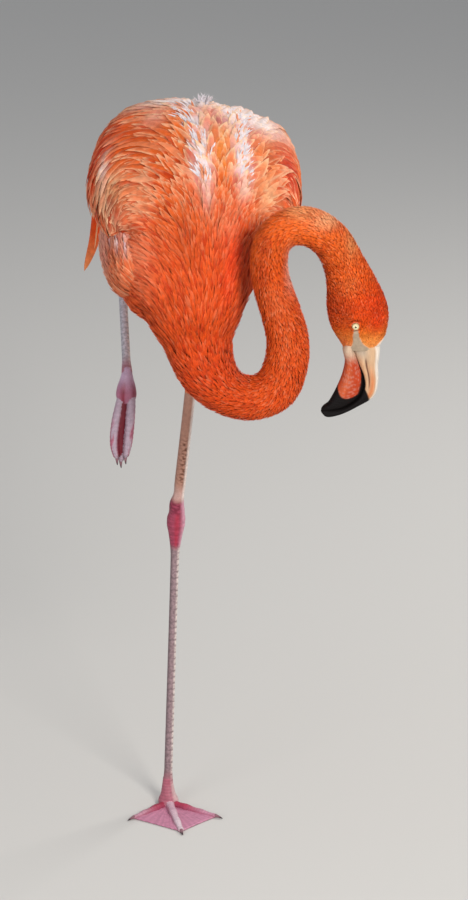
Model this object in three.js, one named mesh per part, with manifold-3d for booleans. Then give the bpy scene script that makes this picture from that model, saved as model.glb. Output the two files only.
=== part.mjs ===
// A life-size American flamingo standing on its left leg, with the neck looped to its left.
// Millimetres, +Z up. The bird faces -Y, so its left side is +X.
// Origin: the floor under the heel of the standing foot.

import * as THREE from 'three';
import { mergeVertices } from 'three/addons/utils/BufferGeometryUtils.js';
import Module from 'manifold-3d';

const wasm = await Module();
wasm.setup();

const vec = (x, y, z) => new THREE.Vector3(x, y, z);

// ---- Driving dimensions ----

const GAP = 0.3;                       // clearance between touching pieces

// Standing (left) leg, from the floor up.
const ANKLE = vec(0, 1, 24);           // lower end of the standing tarsus
const HOCK = vec(10.7, 9, 340);        // backward-facing joint half way up the leg
const SHIN_LENGTH = 332;
const SHIN_LEAN = vec(0.098, -0.27, 0.958).normalize();
const KNEE = HOCK.clone().addScaledVector(SHIN_LEAN, SHIN_LENGTH);
const STANDING_THIGH_SHARE = 0.52;     // the feathers end here on the shin, counted from the hock
const RAISED_THIGH_SHARE = 0.5;

// Raised (right) leg: knee against the belly, hock behind the wing, foot hanging.
const RAISED_KNEE = vec(-45.2, -73, 654.1);
const RAISED_HOCK = vec(-60.2, 235, 716.2);
const RAISED_ANKLE = vec(-41.8, -15, 520.9);

// Bare leg radii.
const TARSUS_RADIUS = 4.5;
const SHIN_RADIUS = 6.2;
const HOCK_RADIUS = 10.3;
const HOCK_LENGTH = 66;
// [share of length, millimetres over the radius]
const SHIN_SWELL = [[0, 0.6], [0.35, 0.2], [0.7, -0.4], [1, 0]];
const TARSUS_SWELL = [[0, 1.6], [0.06, 0.4], [0.2, 0], [0.8, 0.2], [1, 1.2]];
const HOCK_FLATTENING = 1.08;          // front to back over side to side

// Toes of the standing foot: turn in degrees from straight ahead, length up to the claw.
const FOOT_MIDDLE = vec(1, -5, 0);
const TOES = [
  { name: 'inner', turn: -45, length: 56, radius: 5 },
  { name: 'middle', turn: 11.5, length: 78, radius: 5.4 },
  { name: 'outer', turn: 57, length: 65, radius: 5 },
];
const TOE_START = 9;
const TOE_TAPER = 0.36;                // share of its width that a toe loses on the way to the claw
const TOE_KNUCKLE = 0.35;
const CLAW_LENGTH = 8.5;
const CLAW_RADIUS = 2.3;
const CLAW_HEIGHT = 2.2;               // of a claw's middle over the floor
const CLAW_TAPER = 0.85;
const CLAW_DROOP = 0.28;
const WEB_THICKNESS = 1.2;
const WEB_LIFT = 0.4;                  // the web hangs this far off the floor
const WEB_REACH = 0.97;                // share of each toe that the web joins
const WEB_HOLLOW = 0.49;               // 0.5 gives a straight front edge
// [height, half width, half length]
const FOOT_PAD = [[0, 10, 10.5], [2.5, 11.6, 12], [7, 11.4, 11.6], [13, 8.6, 8.8], [ANKLE.z - GAP, 6.3, 6.4]];
// Hind toes: a small cone from the first point to the second, as [share of length, radius].
const HIND_TOE_LEFT = [vec(-1, 7, 15), vec(-3, 17, 9)];
const HIND_TOE_RIGHT = [vec(-43.3, -7, 504.9), vec(-45.3, 1, 491)];
const HIND_TOE_SIZE = [[0, 3.2], [0.6, 2.8], [1, 1]];

// Toes of the raised foot hang in a bunch: points [x, y, z, half width, half thickness].
const HANGING_TOES = [
  {
    name: 'inner',
    route: [[-37.8, -18, 493, 5, 5], [-38.8, -22, 467.2, 5.2, 5.4], [-41.3, -23.5, 441.4, 4.6, 5],
      [-44.3, -21, 424.5, 3.2, 3.4]],
  },
  {
    name: 'outer',
    route: [[-48.2, -17, 492, 5, 5], [-54.2, -21, 464.2, 5.4, 5.4], [-56.2, -23, 440.4, 4.8, 5],
      [-53.7, -21, 423.5, 3.2, 3.4]],
  },
  {
    name: 'middle',
    route: [[-42.8, -7, 493, 5, 5], [-45.8, -9, 461.2, 5.4, 5.4], [-48.7, -11, 433.4, 4.8, 5],
      [-49.7, -13, 417.5, 3.2, 3.4]],
  },
];
const HANGING_WEB = [[-42.8, -17, 487.1, 8, 3], [-46.3, -18, 461.2, 9, 3.4], [-49.2, -18, 433.4, 6, 2.4]];
const HANGING_PAD = [[-41.6, -13, 526.8, 2, 2], [-41.8, -13.5, 522.8, 6.6, 6.6],
  [-42.3, -14, 512.9, 8.2, 8.2], [-42.7, -14, 503, 9.4, 9.6], [-42.9, -14, 494, 9, 9]];

// Feathered thigh of the raised leg, from the fold of the knee back along the shin.
const RAISED_THIGH = [[-22, -160, 668, 8, 10], [-28, -143, 671, 20, 30], [-34, -105, 674, 28, 44],
  [-40, -60, 673, 28.5, 41], [-46, -14, 672, 25, 30], [-51, 35, 677.3, 16, 19], [-53.7, 81, 685.2, 7.2, 7.6]];
const STANDING_THIGH = [[0, 6.8], [0.15, 12], [0.4, 24], [0.7, 33], [1, 33]];

// Tail and long feathers behind the wings: points [x, y, z, half width, half thickness].
const TAIL = [[43.2, 105, 751.2, 18, 10], [46.2, 148, 738.2, 27, 9], [49.2, 195, 718.3, 28, 5],
  [51.1, 235, 697.3, 16, 1.6]];
const TERTIALS_RIGHT = [[-51, 82, 730, 14, 3], [-68, 132, 714, 28, 4], [-80, 175, 670, 22, 3.4],
  [-90, 189, 618, 11, 2], [-95, 186, 580, 2, 0.9]];
const TERTIALS_LEFT = [[119, 82, 706, 14, 3], [133, 132, 692, 27, 4], [131, 178, 670, 22, 3.4],
  [118, 212, 650, 12, 2], [103, 236, 636, 2, 0.9]];
const PRIMARIES_RIGHT = [[-15.5, 113, 705, 12, 3], [-19.5, 163, 693, 17, 3.4], [-9.5, 208, 678, 12, 2.6],
  [8.5, 245, 663, 3, 1]];

// One line runs from behind the rump through trunk, neck and head. Stations are counted along it.
const BEHIND_RUMP = [vec(50.1, 235, 691.4), vec(47.2, 178, 723.3)];
const TRUNK_LINE = [
  vec(44.2, 123, 745.2),
  vec(40.2, 77, 751.3),
  vec(35.2, 25, 740.4),
  vec(30.3, -39, 711.7),
  vec(29.3, -97, 676.1),
  vec(33.3, -143, 634.4),
];
const LOW_BEND = [
  vec(39.7, -165, 595.7),
  vec(50.7, -181, 572.4),
  vec(71, -191, 556.5),
  vec(95.9, -195, 552.5),
  vec(118.7, -197, 564),
  vec(129.7, -197, 588.8),
];
const RISE = [
  vec(131.6, -195, 616.6),
  vec(124.7, -191, 644.4),
  vec(115.7, -187, 672.2),
  vec(111.8, -185, 698.1),
];
const ARCH = [
  vec(116.7, -185, 721.9),
  vec(133.6, -187, 736.8),
  vec(154.5, -190, 737.8),
  vec(175.4, -193, 724.9),
  vec(188.3, -195, 703.1),
];
const HEAD_LINE = [
  vec(197.2, -196, 679.2),
  vec(202.2, -197, 659.3),
  vec(206.2, -197, 641.5),
  vec(208.4, -197, 624.6),
  vec(208.7, -197, 608.7),
];
const SPINE_POINTS = [...BEHIND_RUMP, ...TRUNK_LINE, ...LOW_BEND, ...RISE, ...ARCH, ...HEAD_LINE];
const SPINE = new THREE.CatmullRomCurve3(SPINE_POINTS, false, 'centripetal');
const RUMP = BEHIND_RUMP.length;
const NECK_BASE = RUMP + TRUNK_LINE.length;
const NAPE = SPINE_POINTS.length - HEAD_LINE.length;
const BILL_BASE = SPINE_POINTS.length - 1;

const TRUNK_ROLL = 8 * Math.PI / 180;  // the back leans to the bird's left

// [station, half width, half depth]
const TRUNK_SIZE = [[2, 26, 21], [3, 58, 53], [4, 79, 76], [5, 88, 88], [6, 78, 82],
  [7, 55, 62], [8, 36, 39]];
const WING_HULL = [[0, 52, 14], [1, 70, 26], [2, 78, 38], [3, 80, 53], [4, 82, 75], [5, 87, 87],
  [6, 78, 82], [7, 55, 62]];

// [station, half of side-to-side, half of front-to-back]
const NECK_SIZE = [[8, 37, 36], [9, 32, 30.5], [10, 27, 25.5], [11, 25.5, 24.2], [12, 26, 24.8],
  [13, 25, 23.8], [14, 24, 22.8], [16, 22, 20.8], [18, 21, 20.2], [20, 21, 21.2], [22, 21.5, 22],
  [23, 21.5, 26.6], [24, 21.3, 31.2], [25, 20.6, 31.6], [26, 17.4, 26.8], [27, 13.4, 18.6]];
const NECK_CUTS = [8, 10, 12.2, 14.6, 17, 19, 21.2, 23];

const EYE_RADIUS = 5.4;
const EYE_PLACE = vec(202.2, 0, 637.6);    // on the side of the head
const EYE_OUT = 16.4;                  // distance of the eye's centre from the head's midplane
const HEAD_MIDPLANE = -197;

// Bill in the head's midplane: [across, up] from the corner of the gape.
const GAPE = vec(202.2, HEAD_MIDPLANE, 604.7);
const CULMEN = [[26.2, 3.4], [24.6, -15.6], [24.8, -34], [20.5, -49], [3.3, -60.5], [-17, -70.2],
  [-30, -72.2], [-35.8, -66.6]];
const TOMIUM = [[-1.2, 3.4], [3.6, -11], [8.4, -25], [9.3, -37], [5.9, -48], [-8, -59.5], [-22, -63.8],
  [-35, -65.2]];
const KEEL = [[-13, 3.4], [-10.6, -10], [-13, -24], [-18.7, -39.2], [-24, -50], [-28, -56.5], [-33, -60.5],
  [-35.4, -63.9]];
const BILL_HALF_WIDTH = [[0, 12.6], [0.25, 11], [0.5, 9.6], [0.72, 8], [0.9, 5.4], [1, 2.4]];
const BILL_SQUARENESS = 2.4;           // power of the bill's ovals

// Wings, as shields that wrap the trunk. Angles are from the middle of the back, in degrees.
const WING_STATIONS = [6.05, 5.92, 5.75, 5.4, 4.9, 4.3, 3.7, 3.1, 2.5, 1.9, 1.3, 0.75, 0.2];
const WING_TOP = [[0, 30], [1, 24], [2, 20], [3, 20], [4, 20], [5, 26], [6, 40], [7, 60]];
const WING_LOW = [[0, 118], [1, 124], [2, 128], [3, 128], [4, 124], [5, 108], [5.5, 94], [5.8, 79],
  [5.92, 62], [6.05, 44]];
const WING_THICK = [[0, 2], [1, 7], [2, 12], [3, 18], [4, 25], [5, 23], [5.6, 19], [5.9, 13], [6.05, 7]];
const WING_POINTS = 7;                 // points across the outside of a wing
const WING_EDGE = 4;                   // thickness along a wing's border
const WING_ROOT = -5;                  // a wing is first made this deep into the trunk, then cut

const SIDES = 18;
const SIDEWAYS = vec(1, 0, 0);

// ---- Helpers ----

// Smooth value through rows of [place, value, value]. The column says which value.
function profile(rows, place, column = 1) {
  const pairs = rows.map((row) => [row[0], row[column]]);
  const last = pairs.length - 1;
  if (place <= pairs[0][0]) return pairs[0][1];
  if (place >= pairs[last][0]) return pairs[last][1];
  let i = 0;
  while (place > pairs[i + 1][0]) i += 1;
  const slope = (k) => {
    const a = pairs[Math.max(k - 1, 0)];
    const b = pairs[Math.min(k + 1, last)];
    return (b[1] - a[1]) / (b[0] - a[0]);
  };
  const [x0, y0] = pairs[i];
  const [x1, y1] = pairs[i + 1];
  const step = x1 - x0;
  const t = (place - x0) / step;
  const t2 = t * t;
  const t3 = t2 * t;
  return (2 * t3 - 3 * t2 + 1) * y0 + (t3 - 2 * t2 + t) * step * slope(i)
    + (3 * t2 - 2 * t3) * y1 + (t3 - t2) * step * slope(i + 1);
}

// Closed body through rings of points. Each end is closed by a fan to its middle.
function skinRings(rings) {
  const count = rings[0].length;
  const points = rings.flat();
  const middle = (ring) => ring.reduce((sum, p) => sum.add(p), vec(0, 0, 0)).divideScalar(count);
  points.push(middle(rings[0]), middle(rings[rings.length - 1]));
  const start = points.length - 2;
  const end = points.length - 1;
  const lastRing = (rings.length - 1) * count;
  const index = [];
  for (let i = 0; i < count; i += 1) {
    const next = (i + 1) % count;
    for (let ring = 0; ring < lastRing; ring += count) {
      index.push(ring + i, ring + next, ring + count + next);
      index.push(ring + i, ring + count + next, ring + count + i);
    }
    index.push(start, next, i);
    index.push(end, lastRing + i, lastRing + next);
  }
  const geometry = new THREE.BufferGeometry();
  geometry.setAttribute('position', new THREE.Float32BufferAttribute(points.flatMap((p) => p.toArray()), 3));
  geometry.setIndex(index);
  return faceOut(geometry);
}

// Turns a closed body's triangles to face out.
function faceOut(geometry) {
  const place = geometry.getAttribute('position');
  const index = Array.from(geometry.getIndex().array);
  const corner = (k) => new THREE.Vector3().fromBufferAttribute(place, index[k]);
  let volume = 0;
  for (let k = 0; k < index.length; k += 3) {
    volume += corner(k).dot(corner(k + 1).cross(corner(k + 2)));
  }
  if (volume < 0) {
    for (let k = 0; k < index.length; k += 3) {
      [index[k + 1], index[k + 2]] = [index[k + 2], index[k + 1]];
    }
    geometry.setIndex(index);
  }
  return geometry;
}

// Points of one oval ring. A power over 2 makes the oval squarer.
function oval(centre, across, up, halfWidth, halfHeight, sides = SIDES, power = 2) {
  const ring = [];
  for (let i = 0; i < sides; i += 1) {
    const angle = (i / sides) * 2 * Math.PI;
    const c = Math.cos(angle);
    const s = Math.sin(angle);
    const x = Math.sign(c) * Math.abs(c) ** (2 / power) * halfWidth;
    const y = Math.sign(s) * Math.abs(s) ** (2 / power) * halfHeight;
    ring.push(centre.clone().addScaledVector(across, x).addScaledVector(up, y));
  }
  return ring;
}

// Directions across and above a line of travel, from a hint of what lies across.
function crossDirections(along, hint) {
  const across = hint.clone().addScaledVector(along, -hint.dot(along)).normalize();
  const up = across.clone().cross(along).normalize();
  return { across, up };
}

// A limb between two points: rings from pairs of [share of length, radius].
function limb(from, to, radii, sides = 10) {
  const along = to.clone().sub(from).normalize();
  const { across, up } = crossDirections(along, SIDEWAYS);
  return skinRings(radii.map(([share, radius]) => (
    oval(from.clone().lerp(to, share), across, up, radius, radius, sides)
  )));
}

// Place and cross directions at a station of the spine.
function spineFrame(station, hint) {
  const share = station / BILL_BASE;
  const along = SPINE.getTangent(share);
  return { centre: SPINE.getPoint(share), along, ...crossDirections(along, hint) };
}

// A body along the spine between two stations, grown by some millimetres all round.
function sweep(sizes, { from, to, steps, sides = SIDES, hint, grow = 0 }) {
  const rings = [];
  for (let k = 0; k <= steps; k += 1) {
    const station = from + ((to - from) * k) / steps;
    const { centre, along, across, up } = spineFrame(station, hint);
    if (k === 0) centre.addScaledVector(along, -grow);
    if (k === steps) centre.addScaledVector(along, grow);
    const halfWidth = profile(sizes, station, 1) + grow;
    const halfHeight = profile(sizes, station, 2) + grow;
    rings.push(oval(centre, across, up, halfWidth, halfHeight, sides));
  }
  return skinRings(rings);
}

// A body along a free route of points [x, y, z, half width, half thickness].
function strip(stations, hint, { sides = 12, steps = 8, grow = 0 } = {}) {
  const route = new THREE.CatmullRomCurve3(stations.map(([x, y, z]) => vec(x, y, z)), false, 'centripetal');
  const last = stations.length - 1;
  const sizes = stations.map(([, , , width, thick], k) => [k / last, width, thick]);
  const rings = [];
  for (let k = 0; k <= steps; k += 1) {
    const t = k / steps;
    const { across, up } = crossDirections(route.getTangent(t), hint);
    const halfWidth = profile(sizes, t, 1) + grow;
    const halfHeight = profile(sizes, t, 2) + grow;
    rings.push(oval(route.getPoint(t), across, up, halfWidth, halfHeight, sides));
  }
  return skinRings(rings);
}

function toSolid(geometry) {
  const bare = geometry.clone();
  bare.deleteAttribute('normal');
  bare.deleteAttribute('uv');
  const merged = mergeVertices(bare, 1e-4);
  return new wasm.Manifold(new wasm.Mesh({
    numProp: 3,
    vertProperties: new Float32Array(merged.getAttribute('position').array),
    triVerts: new Uint32Array(merged.getIndex().array),
  }));
}

function toGeometry(solid) {
  const mesh = solid.getMesh();
  const geometry = new THREE.BufferGeometry();
  geometry.setAttribute('position', new THREE.Float32BufferAttribute(Array.from(mesh.vertProperties), 3));
  geometry.setIndex(Array.from(mesh.triVerts));
  return geometry;
}

// A body less its neighbours.
function cut(body, ...neighbours) {
  return toGeometry(neighbours.reduce((solid, other) => solid.subtract(toSolid(other)), toSolid(body)));
}

// ---- Materials ----

function paint(color, roughness) {
  return new THREE.MeshStandardMaterial({ color, roughness, metalness: 0 });
}

const looks = {
  plumage: paint('#e8602c', 0.8),
  wingFeathers: paint('#ee6d35', 0.8),
  flightFeathers: paint('#241f22', 0.7),
  legSkin: paint('#c79aa0', 0.6),
  jointSkin: paint('#cf4d6c', 0.6),
  billPale: paint('#e9cfae', 0.45),
  billOrange: paint('#e2703e', 0.45),
  eye: paint('#e8d58a', 0.1),
  claw: paint('#3a3033', 0.5),
};

const flamingo = new THREE.Group();
flamingo.name = 'flamingo';

function add(name, geometry, look) {
  const mesh = new THREE.Mesh(geometry, looks[look].clone());
  mesh.name = name;
  flamingo.add(mesh);
}

// ---- Trunk ----

const TRUNK_HINT = vec(-Math.cos(TRUNK_ROLL), 0, Math.sin(TRUNK_ROLL));
const NECK_HINT = vec(0, 1, 0);

const trunk = (grow = 0) => sweep(TRUNK_SIZE, {
  from: RUMP, to: NECK_BASE - CUT_SHARE, steps: 12, sides: 24, hint: TRUNK_HINT, grow,
});

// ---- Neck and head ----

const CUT_SHARE = 0.006;               // half the gap at a cut of the neck, in stations

const neckLength = (k) => sweep(NECK_SIZE, {
  from: NECK_CUTS[k] + CUT_SHARE, to: NECK_CUTS[k + 1] - CUT_SHARE, steps: 4, hint: NECK_HINT,
});

const headBall = () => sweep(NECK_SIZE, {
  from: NAPE + CUT_SHARE, to: BILL_BASE, steps: 8, sides: 20, hint: NECK_HINT,
});

function eyeBall(side, grow = 0) {
  const ball = new THREE.SphereGeometry(EYE_RADIUS + grow, 12, 8);
  ball.translate(EYE_PLACE.x, HEAD_MIDPLANE + side * EYE_OUT, EYE_PLACE.z);
  return ball;
}

// ---- Bill ----

function flatCurve(points) {
  return new THREE.CatmullRomCurve3(points.map(([x, z]) => vec(x, 0, z).add(GAPE)), false, 'centripetal');
}

// A mandible fills the space between the tomium and its outer edge.
function mandible(outer, lift) {
  const outerEdge = flatCurve(outer);
  const innerEdge = flatCurve(TOMIUM);
  const steps = 11;
  const rings = [];
  for (let k = 0; k <= steps; k += 1) {
    const t = k / steps;
    const out = outerEdge.getPoint(t);
    const inside = innerEdge.getPoint(t);
    const span = out.clone().sub(inside);
    const half = (span.length() - lift) / 2;
    span.normalize();
    const centre = out.addScaledVector(span, -half);
    rings.push(oval(centre, vec(0, 1, 0), span, profile(BILL_HALF_WIDTH, t), half, 12, BILL_SQUARENESS));
  }
  return skinRings(rings);
}

// ---- Wings and tail ----

// Share of the wing's thickness at a share of the way round it: none at the top, most over the flank.
const wingSwell = (share) => Math.sin(Math.PI * (0.02 + 0.78 * share ** 1.15)) ** 2.2;

// One wing: side is -1 for the bird's right.
function wingShield(side) {
  const rings = [];
  for (const station of WING_STATIONS) {
    const { centre, across, up } = spineFrame(station, TRUNK_HINT);
    const halfWidth = profile(WING_HULL, station, 1);
    const halfDepth = profile(WING_HULL, station, 2);
    const top = profile(WING_TOP, station);
    const low = profile(WING_LOW, station);
    const thick = profile(WING_THICK, station);
    const point = (share, rise) => {
      const angle = THREE.MathUtils.degToRad(top + (low - top) * share);
      return centre.clone()
        .addScaledVector(across, -side * Math.sin(angle) * (halfWidth + rise))
        .addScaledVector(up, Math.cos(angle) * (halfDepth + rise));
    };
    const ring = [];
    for (let i = 0; i <= WING_POINTS; i += 1) {
      const share = i / WING_POINTS;
      ring.push(point(share, WING_EDGE + thick * wingSwell(share)));
    }
    for (let i = WING_POINTS; i >= 0; i -= 1) {
      ring.push(point(i / WING_POINTS, WING_ROOT));
    }
    rings.push(ring);
  }
  return skinRings(rings);
}

// The same route on the other side of the trunk.
function mirrored(route) {
  return route.map(([x, y, z, width, thick]) => {
    const offset = vec(x, y, z).sub(SPINE_POINTS[RUMP]).dot(TRUNK_HINT);
    const place = vec(x, y, z).addScaledVector(TRUNK_HINT, -2 * offset);
    return [place.x, place.y, place.z, width, thick];
  });
}

const PRIMARIES_LEFT = mirrored(PRIMARIES_RIGHT);

const tail = (grow = 0) => strip(TAIL, SIDEWAYS, { sides: 12, steps: 6, grow });

// A bunch of long feathers behind a wing.
const longFeathers = (route, grow = 0) => strip(route, vec(0, 1, 0), { sides: 10, steps: 6, grow });

// ---- Legs ----

function bareLeg(name, knee, hock, ankle, thighShare, foot) {
  const over = (radius, swell) => swell.map(([share, more]) => [share, radius + more]);
  const up = knee.clone().sub(hock).normalize();
  const down = ankle.clone().sub(hock).normalize();
  const half = HOCK_LENGTH / 2;
  const shinStart = hock.clone().addScaledVector(up, half + GAP);
  const shinTop = hock.clone().lerp(knee, thighShare - GAP / SHIN_LENGTH);
  add(`shin_${name}`, limb(shinStart, shinTop, over(SHIN_RADIUS, SHIN_SWELL)), 'legSkin');
  const tarsusTop = hock.clone().addScaledVector(down, half + GAP);
  const tarsus = limb(ankle, tarsusTop, over(TARSUS_RADIUS, TARSUS_SWELL));
  add(`tarsus_${name}`, cut(tarsus, foot), 'legSkin');
  add(`hock_${name}`, hockKnob(hock, up, down), 'jointSkin');
}

// The knob where shin and tarsus meet. It bends from one to the other.
function hockKnob(hock, up, down) {
  const middle = up.clone().sub(down).normalize();
  const rings = [];
  const steps = 6;
  for (let k = 0; k <= steps; k += 1) {
    const share = (2 * k) / steps - 1;
    const onShin = share > 0;
    const along = onShin ? up : down.clone().negate();
    const centre = hock.clone().addScaledVector(along, (share * HOCK_LENGTH) / 2);
    const way = k === steps / 2 ? middle : along;
    const { across, up: over } = crossDirections(way, SIDEWAYS);
    const swell = Math.cos((share * Math.PI) / 2) ** 1.4;
    const base = onShin ? SHIN_RADIUS + SHIN_SWELL[0][1] : TARSUS_RADIUS + TARSUS_SWELL.at(-1)[1];
    const radius = base + (HOCK_RADIUS - base) * swell;
    rings.push(oval(centre, across, over, radius, radius * HOCK_FLATTENING, 12));
  }
  return skinRings(rings);
}

// The thigh that the standing leg's shin comes out of.
function standingThigh() {
  const start = HOCK.clone().lerp(KNEE, STANDING_THIGH_SHARE).addScaledVector(SHIN_LEAN, GAP);
  return limb(start, KNEE, STANDING_THIGH, 16);
}

const raisedThigh = (grow = 0) => strip(RAISED_THIGH, SIDEWAYS, { sides: 14, steps: 9, grow });

// ---- Feet ----

function footPad(grow = 0) {
  const rings = FOOT_PAD.map(([z, halfWidth, halfLength], k) => {
    const share = z / ANKLE.z;
    const centre = FOOT_MIDDLE.clone().lerp(ANKLE, share);
    centre.z = z + (k === 0 ? -grow : 0);
    return oval(centre, SIDEWAYS, vec(0, 1, 0), halfWidth + grow, halfLength + grow, 16);
  });
  return skinRings(rings);
}

const toeWay = (turn) => {
  const angle = THREE.MathUtils.degToRad(turn);
  return vec(Math.sin(angle), -Math.cos(angle), 0);
};

// A toe lies along the floor, flat below.
function standingToe({ turn, length, radius }, grow = 0) {
  const way = toeWay(turn);
  const across = vec(way.y, -way.x, 0);
  const steps = 7;
  const rings = [];
  for (let k = 0; k <= steps; k += 1) {
    const share = k / steps;
    const knuckle = TOE_KNUCKLE * Math.cos(share * Math.PI * 6);
    const halfWidth = (radius + knuckle) * (1 - TOE_TAPER * share) + grow;
    const height = halfWidth * (1.55 - 0.35 * share);
    const endGrowth = grow * (k === 0 ? -1 : k === steps ? 1 : 0);
    const distance = TOE_START + (length - TOE_START) * share + endGrowth;
    const centre = FOOT_MIDDLE.clone().addScaledVector(way, distance).setZ(height * 0.36);
    const ring = oval(centre, across, vec(0, 0, 1), halfWidth, height * 0.64, 10);
    ring.forEach((p) => p.setZ(Math.max(p.z, -grow)));
    rings.push(ring);
  }
  return skinRings(rings);
}

// The web between two toes is a thin sheet with a hollow front edge.
function standingWeb(first, second) {
  const end = (toe) => toeWay(toe.turn).multiplyScalar(toe.length * WEB_REACH);
  const a = end(first);
  const b = end(second);
  const hollow = a.clone().add(b).multiplyScalar(WEB_HOLLOW);
  const outline = new THREE.Shape();
  outline.moveTo(0, 0);
  outline.lineTo(a.x, a.y);
  outline.quadraticCurveTo(hollow.x, hollow.y, b.x, b.y);
  outline.closePath();
  const sheet = new THREE.ExtrudeGeometry(outline, {
    depth: WEB_THICKNESS, bevelEnabled: false, curveSegments: 10,
  });
  sheet.translate(FOOT_MIDDLE.x, FOOT_MIDDLE.y, WEB_LIFT);
  return sheet;
}

// A curved claw from the end of a toe.
function claw(root, way, droop) {
  const rings = [];
  const steps = 3;
  for (let k = 0; k <= steps; k += 1) {
    const share = k / steps;
    const centre = root.clone().addScaledVector(way, GAP + CLAW_LENGTH * share);
    centre.addScaledVector(droop, CLAW_LENGTH * CLAW_DROOP * share * share);
    const { across, up } = crossDirections(way, vec(0.3, 1, 0.2));
    const radius = CLAW_RADIUS * (1 - share * CLAW_TAPER);
    const ring = oval(centre, across, up, radius, radius, 7);
    ring.forEach((p) => p.setZ(Math.max(p.z, 0)));
    rings.push(ring);
  }
  return skinRings(rings);
}

function standingFoot() {
  add('foot_left', footPad(), 'legSkin');
  for (const [k, toe] of TOES.entries()) {
    const inner = TOES.slice(0, k).map((other) => standingToe(other, GAP));
    add(`toe_${toe.name}_left`, cut(standingToe(toe), footPad(GAP), ...inner), 'legSkin');
    const root = FOOT_MIDDLE.clone().addScaledVector(toeWay(toe.turn), toe.length).setZ(CLAW_HEIGHT);
    add(`claw_${toe.name}_left`, claw(root, toeWay(toe.turn), vec(0, 0, -0.6)), 'claw');
  }
  const blocks = [footPad(GAP), ...TOES.map((toe) => standingToe(toe, GAP))];
  add('web_inner_left', cut(standingWeb(TOES[0], TOES[1]), ...blocks), 'jointSkin');
  add('web_outer_left', cut(standingWeb(TOES[1], TOES[2]), ...blocks), 'jointSkin');
  const hindToe = limb(...HIND_TOE_LEFT, HIND_TOE_SIZE, 8);
  add('toe_hind_left', cut(hindToe, footPad(GAP)), 'legSkin');
}

const raisedPad = (grow = 0) => strip(HANGING_PAD, SIDEWAYS, { sides: 12, steps: 6, grow });

function raisedFoot() {
  const toes = HANGING_TOES.map(({ route }) => (grow) => (
    strip(route, SIDEWAYS, { sides: 10, steps: 5, grow })
  ));
  add('foot_right', raisedPad(), 'jointSkin');
  HANGING_TOES.forEach(({ name, route }, k) => {
    const others = toes.slice(0, k).map((toe) => toe(GAP));
    add(`toe_${name}_right`, cut(toes[k](0), raisedPad(GAP), ...others), 'legSkin');
    const [x, y, z] = route[route.length - 1];
    add(`claw_${name}_right`, claw(vec(x, y, z - GAP), vec(0, 0, -1), vec(0.2, 0.8, 0)), 'claw');
  });
  const web = strip(HANGING_WEB, SIDEWAYS, { sides: 6, steps: 3 });
  add('web_right', cut(web, raisedPad(GAP), ...toes.map((toe) => toe(GAP))), 'jointSkin');
  const hindToe = limb(...HIND_TOE_RIGHT, HIND_TOE_SIZE, 8);
  add('toe_hind_right', cut(hindToe, raisedPad(GAP), toes[2](GAP)), 'legSkin');
}

// ---- The whole bird ----

add('trunk', trunk(), 'plumage');
for (let k = 0; k < NECK_CUTS.length - 1; k += 1) {
  add(`neck_${k + 1}`, neckLength(k), 'plumage');
}
add('head', cut(headBall(), eyeBall(-1, GAP), eyeBall(1, GAP)), 'plumage');
add('eye_right', eyeBall(-1), 'eye');
add('eye_left', eyeBall(1), 'eye');
add('bill_upper', mandible(CULMEN, GAP / 2), 'billPale');
add('bill_lower', mandible(KEEL, GAP / 2), 'billOrange');

add('tail', cut(tail(), trunk(GAP)), 'wingFeathers');
add('thigh_right', cut(raisedThigh(), trunk(GAP)), 'plumage');
add('thigh_left', cut(standingThigh(), trunk(GAP)), 'plumage');
add('tertials_right', cut(longFeathers(TERTIALS_RIGHT), trunk(GAP)), 'wingFeathers');
add('tertials_left', cut(longFeathers(TERTIALS_LEFT), trunk(GAP)), 'wingFeathers');
add('primaries_right', cut(longFeathers(PRIMARIES_RIGHT), trunk(GAP), tail(GAP)), 'flightFeathers');
add('primaries_left', cut(longFeathers(PRIMARIES_LEFT), trunk(GAP), tail(GAP)), 'flightFeathers');
const aroundWing = (tertials, primaries) => [
  trunk(GAP), tail(GAP), longFeathers(tertials, GAP), longFeathers(primaries, GAP),
];
const aroundRight = [raisedThigh(GAP), ...aroundWing(TERTIALS_RIGHT, PRIMARIES_RIGHT)];
add('wing_right', cut(wingShield(-1), ...aroundRight), 'wingFeathers');
add('wing_left', cut(wingShield(1), ...aroundWing(TERTIALS_LEFT, PRIMARIES_LEFT)), 'wingFeathers');

bareLeg('left', KNEE, HOCK, ANKLE, STANDING_THIGH_SHARE, footPad(GAP));
bareLeg('right', RAISED_KNEE, RAISED_HOCK, RAISED_ANKLE, RAISED_THIGH_SHARE, raisedPad(GAP));
standingFoot();
raisedFoot();

export default flamingo;
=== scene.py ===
import math

import bmesh
import bpy
import numpy as np
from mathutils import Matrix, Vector
from mathutils.bvhtree import BVHTree
from mathutils.kdtree import KDTree


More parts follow.
